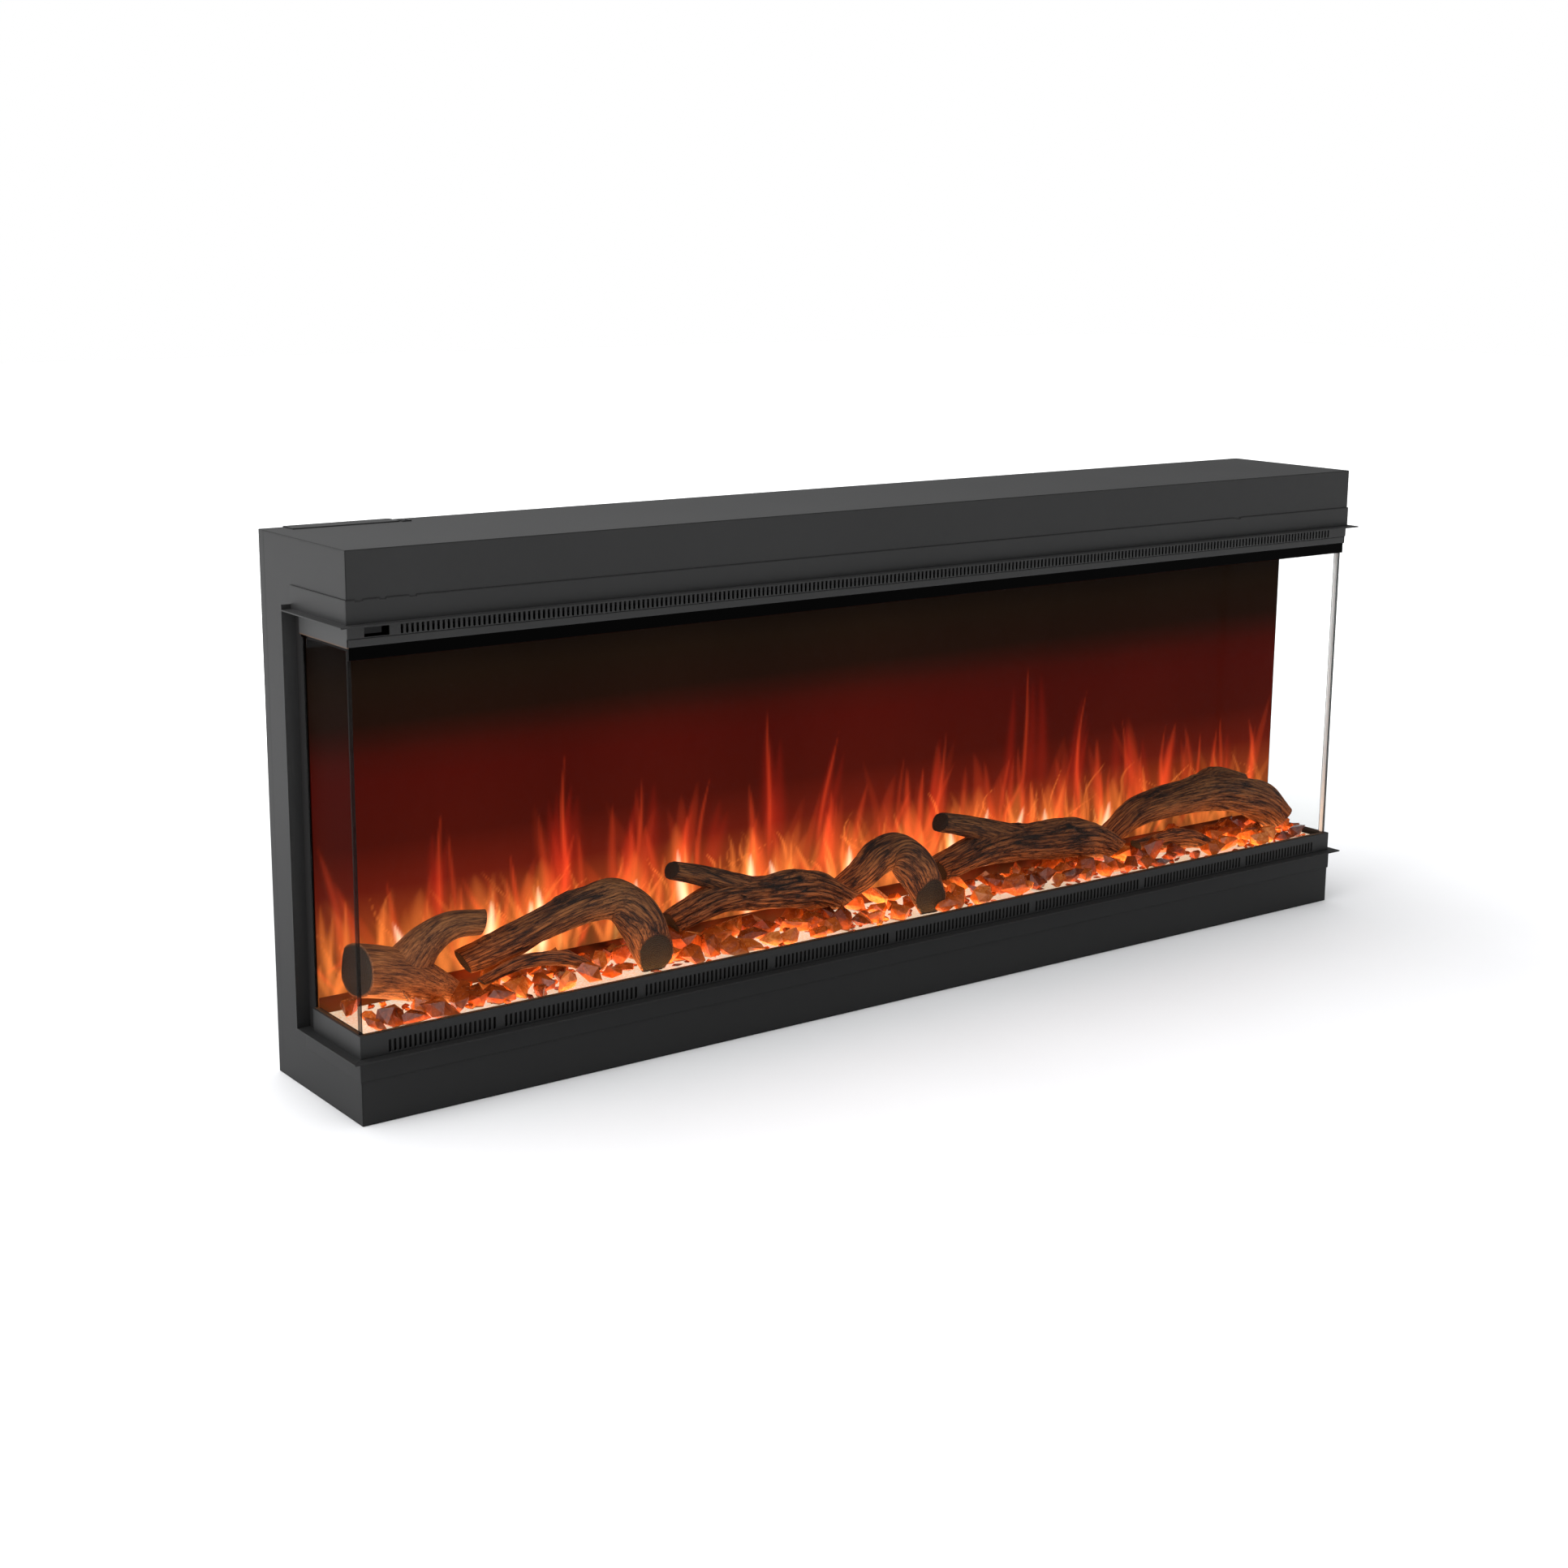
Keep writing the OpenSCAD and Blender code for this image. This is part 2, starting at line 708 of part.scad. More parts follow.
// Rod with reflecting blades, each turned a little further than the one before
module flame_spindle() {
    reach = bearing_x - bearing_w / 2 - 8 - blade_l / 2;
    n = floor(reach / blade_step);
    color([0.9, 0.9, 0.92]) {
        bar_x([-motor_x0 + motor_l - motor_socket, bearing_x + bearing_w / 2], spindle_y,
              spindle_z, spindle_d / 2);
        for (i = [-n:n]) translate([i * blade_step, spindle_y, spindle_z])
            rotate([i * blade_turn, 0, 0])
                cube([blade_l, blade_t, 2 * blade_r], center = true);
    }
}

module spindle_bearings() {
    color([0.85, 0.85, 0.8]) for (s = [-1, 1]) difference() {
        slab([s * bearing_x - bearing_w / 2, s * bearing_x + bearing_w / 2],
             [spindle_y - 9, spindle_y + 9], [plinth_top, spindle_z + 9]);
        bar_x([s * bearing_x - bearing_w, s * bearing_x + bearing_w], spindle_y, spindle_z,
              spindle_d / 2 + run_gap);
    }
}

module spindle_motor() {
    x1 = -motor_x0 + motor_l;
    color("dimgray") difference() {
        union() {
            bar_x([-motor_x0, x1], spindle_y, spindle_z, 22);
            slab([-motor_x0, -motor_x0 + 3], [spindle_y - 22, spindle_y + 22],
                 [plinth_top, spindle_z]);
        }
        bar_x([x1 - motor_socket - 1, x1 + 1], spindle_y, spindle_z, spindle_d / 2 + run_gap);
    }
}

/* ---- Heater ---- */

blower_motor_l = 42;
shaft_reach = 14;

module blower_wheel() {
    disc_t = 3;
    blade_w = 8;
    tangent = 35;
    color("silver") {
        bar_x([-plate_x - plate_t, plate_x + plate_t + shaft_reach], wheel_y, wheel_z,
              shaft_d / 2);
        for (x = [-wheel_l / 2, -disc_t / 2, wheel_l / 2 - disc_t])
            bar_x([x, x + disc_t], wheel_y, wheel_z, wheel_r);
        for (i = [0:wheel_blades - 1]) translate([0, wheel_y, wheel_z])
            rotate([i * 360 / wheel_blades, 0, 0]) translate([0, 0, wheel_r - blade_w / 2 - 1])
                rotate([tangent, 0, 0]) cube([wheel_l - disc_t, 0.8, blade_w - 1], center = true);
    }
}

// Scroll around the back of the wheel, with a roof to the duct and two end plates
module blower_casing() {
    t = plate_t;
    r = casing_in_r;
    foot_z = header_floor_z - wheel_z;
    color([0.6, 0.6, 0.62]) translate([0, wheel_y, wheel_z]) {
        translate([-plate_x, 0, 0]) rotate([90, 0, 90]) linear_extrude(2 * plate_x) {
            difference() {
                circle(r = r + t, $fn = 64);
                circle(r = r, $fn = 64);
                translate([-r - 2 * t, -r - 2 * t]) square([r + 2 * t, 2 * r + 4 * t]);
            }
            translate([-r - 6, r]) square([r + 6, t]);
            translate([-12, -r - t]) square([12, t]);
        }
        for (s = [-1, 1]) difference() {
            translate([s * (plate_x + t / 2), 0, 0]) rotate([90, 0, 90])
                linear_extrude(t, center = true)
                    translate([-r - 6, foot_z]) square([2 * r + 6 + 2 * t, r + t - foot_z]);
            bar_x([s * plate_x - 3, s * plate_x + 3], 0, 0, shaft_d / 2 + run_gap);
        }
    }
}

module blower_motor() {
    x0 = plate_x + plate_t;
    color("dimgray") difference() {
        bar_x([x0, x0 + blower_motor_l], wheel_y, wheel_z, 24);
        bar_x([x0 - 1, x0 + shaft_reach + 1], wheel_y, wheel_z, shaft_d / 2 + run_gap);
    }
}

element_y = wheel_y - casing_in_r - 24;

// Three rods through a bank of thin fins, standing on two end plates
module heating_element() {
    fins = 30;
    z0 = header_floor_z + 6;
    rod_step = 16;
    color([0.75, 0.7, 0.65]) {
        for (k = [0:2])
            bar_x([-wheel_l / 2, wheel_l / 2], element_y, z0 + 8 + k * rod_step, 3);
        for (i = [0:fins - 1])
            translate([(i + 0.5 - fins / 2) * (wheel_l - 16) / fins, element_y, z0 + 24])
                cube([0.6, 14, 46], center = true);
        for (s = [-1, 1])
            slab([s * wheel_l / 2 - 1, s * wheel_l / 2 + 1], [element_y - 9, element_y + 9],
                 [header_floor_z, z0 + 50]);
    }
}

// Hood over the element, folded down to a deflector that runs along behind the whole grille
module outlet_duct() {
    t = 1.2;
    y0 = max(tuck_y, glass_in_y + 4) + fit_gap;
    y1 = wheel_y - casing_in_r - 7;
    z1 = wheel_z + casing_in_r;
    lip_z = grille_z + (upper_flange_z - grille_z) * 0.45;
    color([0.3, 0.3, 0.3]) {
        slab([grille_x0 - 8, grille_x1 + 4], [y0, y0 + t], [lip_z, upper_flange_z + 8]);
        translate([-plate_x, 0, 0]) rotate([90, 0, 90]) linear_extrude(2 * plate_x) polygon([
            [y0 + t, upper_flange_z + 8 - t], [y0 + t, upper_flange_z + 8],
            [y1, z1 + t], [y1, z1]]);
    }
}

/* ---- Wiring ---- */

module control_board() {
    x0 = gland_x + 45;
    y0 = screen_y + 6;
    z0 = header_floor_z + 6;
    color("darkgreen") {
        slab([x0, x0 + 120], [y0, y0 + 70], [z0, z0 + board_t]);
        for (dx = [5, 115], dy = [5, 65])
            translate([x0 + dx, y0 + dy, header_floor_z]) cylinder(r = 3, h = 6, $fn = 24);
        // Transformer, relay, capacitor and connector
        slab([x0 + 12, x0 + 42], [y0 + 14, y0 + 44], [z0 + board_t, z0 + 24]);
        slab([x0 + 50, x0 + 70], [y0 + 12, y0 + 27], [z0 + board_t, z0 + 17]);
        translate([x0 + 60, y0 + 46, z0 + board_t]) cylinder(r = 7, h = 20);
        slab([x0 + 80, x0 + 110], [y0 + 20, y0 + 30], [z0 + board_t, z0 + 11]);
    }
}

module terminal_box() {
    x0 = gland_x - 45;
    y1 = inner_back - gland_l - 6;
    color("ivory") difference() {
        slab([x0, x0 + 78], [y1 - 44, y1], [header_floor_z, header_floor_z + 48]);
        slab([x0 + 2, x0 + 76], [y1 - 42, y1 - 2], [header_floor_z + 2, header_floor_z + 49]);
    }
}

module cable_gland() {
    inner = back_y - gland_l;
    color("black") difference() {
        union() {
            bar_y(gland_x, [inner, back_y], gland_z, gland_d / 2);
            bar_y(gland_x, [inner_back - 4, inner_back], gland_z, gland_d / 2 + 4);
        }
        bar_y(gland_x, [inner - 1, back_y + 1], gland_z, cable_d / 2);
    }
}

rocker_z = casing_h + 1;
rocker_drop = 4;

module switch_housing() {
    color("black") difference() {
        union() {
            translate([switch_x, switch_y, casing_h + 0.75])
                cube([switch_w + 1.8, switch_l + 1.6, 1.5], center = true);
            translate([switch_x, switch_y, casing_h - 8])
                cube([switch_w - 0.2, switch_l - 0.2, 16], center = true);
        }
        translate([switch_x, switch_y, casing_h])
            cube([rocker_w + 0.6, rocker_l + 1.2, 14], center = true);
        bar_x([switch_x - rocker_w / 2 - 0.8, switch_x + rocker_w / 2 + 0.8], switch_y,
              rocker_z - 2, rocker_pin_d / 2 + run_gap);
    }
}

// Rocker in its on position, tilted by half the throw
module switch_rocker() {
    h = rocker_l / 2;
    color("red") translate([switch_x, switch_y, rocker_z - 2]) rotate([switch_throw / 2, 0, 0]) {
        translate([-rocker_w / 2, 0, 0]) rotate([90, 0, 90]) linear_extrude(rocker_w)
            polygon([[-h, 1.4], [0, 0.9], [h, 1.4], [h - 0.8, -1], [0, -rocker_drop],
                     [0.8 - h, -1]]);
        bar_x([-rocker_w / 2 - 0.7, rocker_w / 2 + 0.7], 0, 0, rocker_pin_d / 2);
    }
}

top_cover();
on_left() side_panel();  // side_panel_left
side_panel();  // side_panel_right
base_pan();
back_panel();
terminal_hatch();
top_trim_front();
on_left() top_trim_side();  // top_trim_left
top_trim_side();  // top_trim_right
bottom_trim_front();
on_left() bottom_trim_side();  // bottom_trim_left
bottom_trim_side();  // bottom_trim_right
on_left() upright_trim();  // upright_trim_left
upright_trim();  // upright_trim_right
outlet_grille();
receiver_lens();
on_left() header_band_side();  // header_band_left
header_band_side();  // header_band_right
glass_retainer();
vent_band_front();
on_left() vent_band_side();  // vent_band_left
vent_band_side();  // vent_band_right
front_glass();
on_left() side_glass();  // left_glass
side_glass();  // right_glass
glass_seals();
on_left() opening_post();  // opening_post_left
opening_post();  // opening_post_right
firebox_floor();
header_floor();
flame_screen();
screen_foot_rail();
screen_head_rail();
ember_tray();
ember_light_board();
ember_bed();
ember_stones();
log_forked_left();
log_arch_left();
log_twig_left();
log_branched_left();
log_arch_middle();
log_branched_right();
log_arch_right();
log_twig_right();
flame_light_board();
flame_spindle();
spindle_bearings();
spindle_motor();
blower_wheel();
blower_casing();
blower_motor();
heating_element();
outlet_duct();
control_board();
terminal_box();
cable_gland();
switch_housing();
switch_rocker();
casing_screws();
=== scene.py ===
"""Looks of a three-sided built-in electric fire: charcoal casing, glass, driftwood, amber stones
on a lit bed, and the flame picture on the screen behind them.

Lengths are in metres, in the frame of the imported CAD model. A few tables of shapes are in
millimetres, and say so.
"""

import json
import math

import bpy
import numpy as np
from mathutils import Matrix, Vector


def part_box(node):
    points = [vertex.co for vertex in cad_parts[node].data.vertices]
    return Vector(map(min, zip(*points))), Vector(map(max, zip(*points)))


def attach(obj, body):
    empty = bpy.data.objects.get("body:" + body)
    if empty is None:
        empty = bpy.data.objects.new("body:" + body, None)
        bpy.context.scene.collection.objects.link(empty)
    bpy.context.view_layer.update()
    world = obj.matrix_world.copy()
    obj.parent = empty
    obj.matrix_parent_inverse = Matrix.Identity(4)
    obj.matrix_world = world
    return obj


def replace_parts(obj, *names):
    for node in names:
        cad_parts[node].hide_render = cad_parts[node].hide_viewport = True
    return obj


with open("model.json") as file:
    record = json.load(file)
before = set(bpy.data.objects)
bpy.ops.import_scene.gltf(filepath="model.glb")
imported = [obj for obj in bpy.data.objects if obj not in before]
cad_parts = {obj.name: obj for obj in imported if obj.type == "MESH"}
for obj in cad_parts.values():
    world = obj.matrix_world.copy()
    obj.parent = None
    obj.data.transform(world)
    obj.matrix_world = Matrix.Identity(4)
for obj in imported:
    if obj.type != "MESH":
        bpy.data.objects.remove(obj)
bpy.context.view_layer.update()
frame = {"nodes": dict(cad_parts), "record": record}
NODES = frame["nodes"]
SLOT_OF = {part["node"]: part["material_slot"] for part in frame["record"]["subparts"]}

BED_LOW, BED_HIGH = (np.array(corner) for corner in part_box("ember_bed"))
SCREEN_LOW, SCREEN_HIGH = (np.array(corner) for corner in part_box("flame_screen"))
CASE_LOW, CASE_HIGH = (np.array(corner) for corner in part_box("top_cover"))
BED_TOP = BED_HIGH[2]

BLACK, WHITE = (0, 0, 0, 1), (1, 1, 1, 1)
# A fold's thin dark line of painted shade starts to show at the outer distance from it and is full at the
# inner one
SEAM_SHADE_OUTER, SEAM_SHADE_INNER = 0.0016, 0.0006
# An edge on Y that lies beyond everything, for a pane that shows none
NO_EDGE = (9.0, 9.1)


def tone(red, green, blue):
    """The linear colour of a screen colour given from 0 to 255."""
    values = np.array([red, green, blue]) / 255
    return tuple(np.where(values <= 0.04045, values / 12.92, ((values + 0.055) / 1.055) ** 2.4)) + (1.0,)


def times(colour, factor):
    """A colour made lighter or darker by a factor."""
    return tuple(factor * part for part in colour[:3]) + (1,)


# ---- Finishes ----


class Value:
    """One output of a shader node. Arithmetic on it adds Math nodes to its finish."""

    def __init__(self, finish, output):
        self.finish = finish
        self.output = output

    def maths(self, operation, *values):
        return self.finish.node("Math", {"operation": operation}, dict(enumerate(values)))

    def __add__(self, other):
        return self.maths("ADD", self, other)

    def __radd__(self, other):
        return self.maths("ADD", other, self)

    def __sub__(self, other):
        return self.maths("SUBTRACT", self, other)

    def __rsub__(self, other):
        return self.maths("SUBTRACT", other, self)

    def __mul__(self, other):
        return self.maths("MULTIPLY", self, other)

    def __rmul__(self, other):
        return self.maths("MULTIPLY", other, self)

    def __gt__(self, other):
        return self.maths("GREATER_THAN", self, other)

    def __lt__(self, other):
        return self.maths("LESS_THAN", self, other)

    def __abs__(self):
        return self.maths("ABSOLUTE", self)

    def fade(self, start, end):
        """0 up to start and 1 from end, with a smooth step between; start may be above end."""
        low, high, first, last = (start, end, 0.0, 1.0) if start < end else (end, start, 1.0, 0.0)
        sockets = {"Value": self, "From Min": low, "From Max": high, "To Min": first, "To Max": last}
        return self.finish.node("MapRange", {"interpolation_type": "SMOOTHSTEP"}, sockets)


class Finish:
    """A node material, or a world, in the making. node() makes every node."""

    def __init__(self, name, world=False):
        self.owner = (bpy.data.worlds if world else bpy.data.materials).new(name)
        self.owner.use_nodes = True
        self.tree = self.owner.node_tree
        self.tree.nodes.clear()

    def node(self, kind, settings=(), sockets=(), out=0):
        """A node of this kind: its settings, a ramp's stops among them, then its sockets' values or links."""
        made = self.tree.nodes.new("ShaderNode" + kind)
        for key, value in dict(settings).items():
            if key == "stops":
                ramp = made.color_ramp
                while len(ramp.elements) < len(value):
                    ramp.elements.new(1.0)
                for element, (place, colour) in zip(ramp.elements, value):
                    element.position, element.color = place, colour
            else:
                setattr(made, key, value)
        for key, value in dict(sockets).items():
            if isinstance(value, Value):
                self.tree.links.new(value.output, made.inputs[key])
            else:
                made.inputs[key].default_value = value
        return Value(self, made.outputs[out] if len(made.outputs) else None)

    def place(self):
        """Object coordinates."""
        return self.node("TexCoord", out="Object")

    def along(self, axis, place=None):
        """One coordinate of a place, "X", "Y" or "Z"."""
        return self.node("SeparateXYZ", {}, {0: place or self.place()}, out=axis)

    def stretched(self, place, scales):
        """A place with each coordinate times its scale. A small scale makes a pattern long that way."""
        return self.node("VectorMath", {"operation": "MULTIPLY"}, {0: place, 1: scales})

    def length(self, place):
        """How far a place is from the origin."""
        return self.node("VectorMath", {"operation": "LENGTH"}, {0: place}, out="Value")

    def own(self, name, out="Fac"):
        """The piece's own attribute of that name."""
        return self.node("Attribute", {"attribute_name": name}, out=out)

    def noise(self, scale, detail=3.0, place=None, roughness=0.5, distortion=0.0):
        sockets = {
            "Vector": place or self.place(), "Scale": scale, "Detail": detail,
            "Roughness": roughness, "Distortion": distortion,
        }
        return self.node("TexNoise", {}, sockets)

    def cells(self, scale, place=None, feature="F1", out="Distance"):
        sockets = {"Vector": place or self.place(), "Scale": scale}
        return self.node("TexVoronoi", {"feature": feature}, sockets, out=out)

    def ramp(self, value, stops):
        return self.node("ValToRGB", {"stops": stops}, {0: value})

    def blend(self, share, first, second, way="MIX"):
        """The first colour where share is 0 and the second where it is 1."""
        settings = {"data_type": "RGBA", "blend_type": way}
        return self.node("Mix", settings, {0: share, 6: first, 7: second}, out=2)

    def dimmed(self, colour, share):
        """A colour times a share, which may vary."""
        grey = self.node("CombineColor", {}, {0: share, 1: share, 2: share})
        return self.blend(1.0, colour, grey, "MULTIPLY")

    def bump(self, height, distance, strength=1.0, corner=0.0):
        """A bump of that height in metres; corner rounds the edges of folded sheet to that radius."""
        sockets = {"Height": height, "Distance": distance, "Strength": strength}
        if corner:
            sockets["Normal"] = self.node("Bevel", {"samples": 4}, {"Radius": corner})
        return self.node("Bump", {}, sockets)

    def surface(self, sockets):
        """Ends the finish in one Principled surface with these sockets, and gives the material."""
        shader = self.node("BsdfPrincipled", {}, sockets)
        self.node("OutputMaterial", {}, {"Surface": shader})
        return self.owner


def powder_coat(name, base, rough, grain=2600, corner=0.0007, fade=0.0, shaded_folds=()):
    """Satin powder coat: fine orange-peel texture, slight cloudiness, painted shade that darkens it
    towards the floor as much as fade asks, and a thin dark line of painted shade along each fold. A
    fold is where two planes meet, or one plane alone: each plane is an axis and its distance from
    the origin, either side."""
    made = Finish(name)
    place = made.place()
    peel = made.noise(grain, 2.0, place)
    clouds = made.noise(5.0, 4.0, place)
    axes = {axis: made.along(axis, place) for axis in "XYZ"}
    tint = made.blend(clouds.fade(0.3, 0.7), times(base, 0.88), base)
    # Painted shade: the coat darker towards the floor, as much as fade asks, plus the darker specks of the
    # peel
    dark = (1 - axes["Z"].fade(-0.1, 0.62)) * fade + peel.fade(0.62, 0.8) * 0.12
    painted_seam_shade = 0.0
    # Painted shade: a thin dark line along each fold
    for planes in shaded_folds:
        line = 1.0
        for axis, far in planes:
            line = abs(abs(axes[axis]) - far).fade(SEAM_SHADE_OUTER, SEAM_SHADE_INNER) * line
        painted_seam_shade = line + painted_seam_shade
    colour = made.blend(dark, tint, (0.004, 0.004, 0.004, 1))
    if shaded_folds:
        # The thin dark lines of painted shade darken the coat along each fold
        colour = made.blend(painted_seam_shade * 0.75, colour, tone(12, 12, 12))
    return made.surface({
        "Base Color": colour,
        "Roughness": rough + clouds * 0.08 + peel * 0.05,
        "Normal": made.bump(peel, 0.00012, 0.55, corner),
        "Specular IOR Level": 0.22,
    })


def bare_metal(name, base, rough, brushed=(1.0, 1.0, 1.0), tint=None):
    """Bare sheet or turned metal: fine brushing along the axis with the smallest scale, and stains."""
    made = Finish(name)
    lines = made.noise(900, 2.0, made.stretched(made.place(), brushed))
    stains = made.noise(24, 3.0)
    spangle = made.cells(70, out="Color")
    mottled = made.blend(0.10, base, spangle, "OVERLAY")
    worn = made.blend(stains.fade(0.45, 0.8), mottled, tint or times(base, 0.7))
    return made.surface({
        "Base Color": worn,
        "Metallic": 1.0,
        "Roughness": rough + lines * 0.12 + stains * 0.1,
        "Normal": made.bump(lines, 0.00008, 0.5),
    })


def moulded(name, base, rough, grain=1400, shine=0.4):
    """Moulded plastic or rubber: fine spark-eroded grain and faint flow marks."""
    made = Finish(name)
    speck = made.noise(grain, 2.0)
    flow = made.noise(30, 3.0, distortion=1.0)
    return made.surface({
        "Base Color": made.blend(flow.fade(0.35, 0.75), base, times(base, 0.8)),
        "Roughness": rough + speck * 0.1 + flow * 0.05,
        "Specular IOR Level": shine,
        "Normal": made.bump(speck, 0.00008, 0.5),
    })


def circuit(name, board, parts, board_top):
    """Circuit board: green mask with fine tracks; what stands above it takes the parts' colour."""
    made = Finish(name)
    place = made.place()
    tracks = made.cells(160, made.stretched(place, (1.0, 1.0, 0.02)), "DISTANCE_TO_EDGE")
    copper = made.blend(tracks.fade(0.10, 0.06), board, times(board, 1.8))
    above = made.along("Z", place) > board_top
    speck = made.noise(700, 2.0, place)
    return made.surface({
        "Base Color": made.blend(above, copper, parts),
        "Roughness": 0.35 + speck * 0.2,
        "Normal": made.bump(tracks, 0.00005, 0.5),
    })


def lit_sand(name):
    """Pale sand-coated plate lit from below: bright grains, soft pools of light between strips."""
    made = Finish(name)
    grains = made.noise(900, 2.0)
    coarse = made.cells(420)
    pools = made.noise(9.0, 2.0)
    side = made.along("Y")
    warm = made.ramp(grains * 0.6 + coarse * 0.5 + pools * 0.25, [
        (0.25, tone(232, 150, 84)), (0.45, tone(250, 196, 140)),
        (0.62, tone(255, 224, 186)), (0.8, tone(255, 243, 224)),
    ])
    strength = side.fade(BED_LOW[1] - 0.03, BED_LOW[1] + 0.05) * 0.35 + 0.65
    return made.surface({
        "Base Color": tone(120, 84, 60),
        "Roughness": 0.85 + grains * 0.1,
        "Emission Color": made.dimmed(warm, strength),
        "Emission Strength": 0.8,
        "Normal": made.bump(grains + coarse, 0.0006, 0.7),
    })


def pane(name, band_from, edge=NO_EDGE, edge_reflection_tone=(5, 5, 4), edge_line_reflection_tone=(26, 25, 24), haze=0.03):
    """Clear toughened glass: almost clear, with a little more sheen at a glance, a black fired-on band
    along its top from band_from up with a faint red line of painted glow under it, and a polished
    edge between two places on Y, drawn as an opaque strip in a painted reflection tone with a line
    in another painted reflection tone along each side of it."""
    made = Finish(name)
    place = made.place()
    depth = made.along("Y", place)
    up = made.along("Z", place)
    band = up.fade(band_from - 0.0004, band_from + 0.0004)
    rim = (depth > edge[0]) * (depth < edge[1])
    middle, reach = (edge[0] + edge[1]) / 2, (edge[1] - edge[0]) / 2
    # Painted reflection: a line along each side of the polished edge
    lines = abs(depth - middle).fade(reach - 0.0013, reach - 0.0008) * rim
    smear = made.noise(6.0, 4.0, made.stretched(place, (1.0, 1.0, 0.35)))
    glance = made.node("Fresnel", {}, {"IOR": 1.45})
    film = haze * (0.7 + smear * 0.6) + glance * 0.10
    # The band is printed; the rim is made mostly opaque so that it carries the edge's painted reflection
    covered = band + rim * 0.8
    # Painted glow: a faint red line just under the fired-on band, given as emission
    line = up.fade(band_from - 0.0022, band_from - 0.0004) * (1 - band)
    seen = film.maths("MAXIMUM", film, covered)
    # The polished edge's painted reflection: the strip's tone, with the lines' tone along each side
    edges = made.blend(lines, tone(*edge_reflection_tone), tone(*edge_line_reflection_tone))
    solid = made.node("BsdfPrincipled", {}, {
        "Base Color": made.blend(rim * (1 - band), (0.0002, 0.0002, 0.0002, 1), edges),
        "Roughness": 0.08 + smear * 0.06,
        "Specular IOR Level": 0.01,
        "Emission Color": made.blend(line, BLACK, tone(60, 8, 6)),
        "Emission Strength": 0.5,
    })
    clear = made.node("BsdfTransparent", {}, {"Color": (0.995, 0.998, 0.996, 1)})
    both = made.node("MixShader", {}, {0: seen, 1: clear, 2: solid})
    made.node("OutputMaterial", {}, {"Surface": both})
    return made.owner


def bark(name, deep, mid, pale, furrow=1.0):
    """Weathered wood: the furrows' own depth darkens them, fibres run lengthwise along the grain
    attribute, sawn faces show rings round the heart, and a painted glow, given as emission, warms
    the low parts in place of the bed's light."""
    made = Finish(name)
    grain = made.own("grain", "Vector")
    depth = made.own("depth")
    sawn = made.own("sawn")
    fibre = made.noise(0.8, 6.0, made.stretched(grain, (1.0, 1.0, 0.06)), 0.75, 0.5)
    streak = made.noise(0.3, 3.0, made.stretched(grain, (1.0, 1.0, 0.10)), 0.6, 0.8)
    patch = made.noise(0.03, 3.0, made.stretched(grain, (1.0, 1.0, 0.6)), 0.6)
    cracks = made.cells(0.22, made.stretched(grain, (1.0, 1.0, 0.07)), "DISTANCE_TO_EDGE")
    mixed = (depth - 0.72) * furrow + (fibre - 0.5) * 2.4 + (streak - 0.5) * 0.9 + (patch - 0.5) * 0.7 + 0.5
    skin = made.ramp(mixed, [(0.12, deep), (0.42, mid), (0.68, pale), (0.95, times(pale, 1.3))])
    skin = made.blend(cracks.fade(0.07, 0.01) * 0.75 * furrow, skin, deep)
    heart = made.length(made.stretched(grain, (1.0, 1.0, 0.0)))
    wobble = made.noise(0.08, 3.0, grain)
    spread = (heart + wobble * 9) * 2.6
    rings = spread.maths("SINE", spread)
    speck = made.noise(0.9, 4.0, grain)
    face = made.ramp(rings * 0.12 + speck * 0.7 + 0.12, [
        (0.3, tone(14, 10, 6)), (0.6, tone(38, 31, 19)), (0.85, tone(66, 54, 34)),
    ])
    wood = made.blend(sawn, skin, face)
    # Painted glow: warm orange emission over the wood's colour, strongest just over the bed and gone 0.13 m
    # above it, in place of the bed's light on the logs
    lit = made.along("Z").fade(BED_TOP + 0.13, BED_TOP)
    warm = made.blend(1.0, wood, (1.0, 0.36, 0.08, 1), "MULTIPLY")
    return made.surface({
        "Base Color": wood,
        "Emission Color": made.blend(lit * lit, BLACK, warm),
        "Emission Strength": 1.1,
        "Roughness": 0.72 - fibre * 0.15,
        "Normal": made.bump(fibre + streak * 0.6 + cracks * 0.8 + rings * sawn * 0.1, 0.0022, 1.0),
        "Specular IOR Level": 0.35,
    })


def amber(name):
    """Broken amber glass with a painted glow from below, given as emission: red-brown and orange by
    the stone, the painted glow brightest at its lower edges, with veins and a wet gloss."""
    made = Finish(name)
    place = made.place()
    hue = made.own("hue")
    low = made.own("glow")
    veins = made.noise(95, 4.0, place, 0.6, 1.2)
    clouds = made.noise(240, 3.0, place)
    body = made.ramp(hue * 0.5 + veins * 0.55, [
        (0.25, tone(66, 20, 5)), (0.45, tone(116, 46, 13)),
        (0.68, tone(160, 76, 26)), (0.9, tone(208, 134, 72)),
    ])
    # Painted glow: emission brightest at each stone's lowest point, in place of the bed's light through the
    # stone
    lit = made.ramp(low * 0.6 + veins * 0.5 + hue * 0.15, [
        (0.3, tone(24, 6, 1)), (0.52, tone(116, 42, 8)),
        (0.74, tone(198, 88, 24)), (0.97, tone(255, 168, 84)),
    ])
    return made.surface({
        "Base Color": body,
        "Roughness": 0.12 + clouds * 0.25,
        "Coat Weight": 0.1,
        "Coat Roughness": 0.08,
        "Specular IOR Level": 0.3,
        "Emission Color": lit,
        "Emission Strength": 0.26,
        "Normal": made.bump(veins + clouds * 0.4, 0.0009, 0.6),
    })


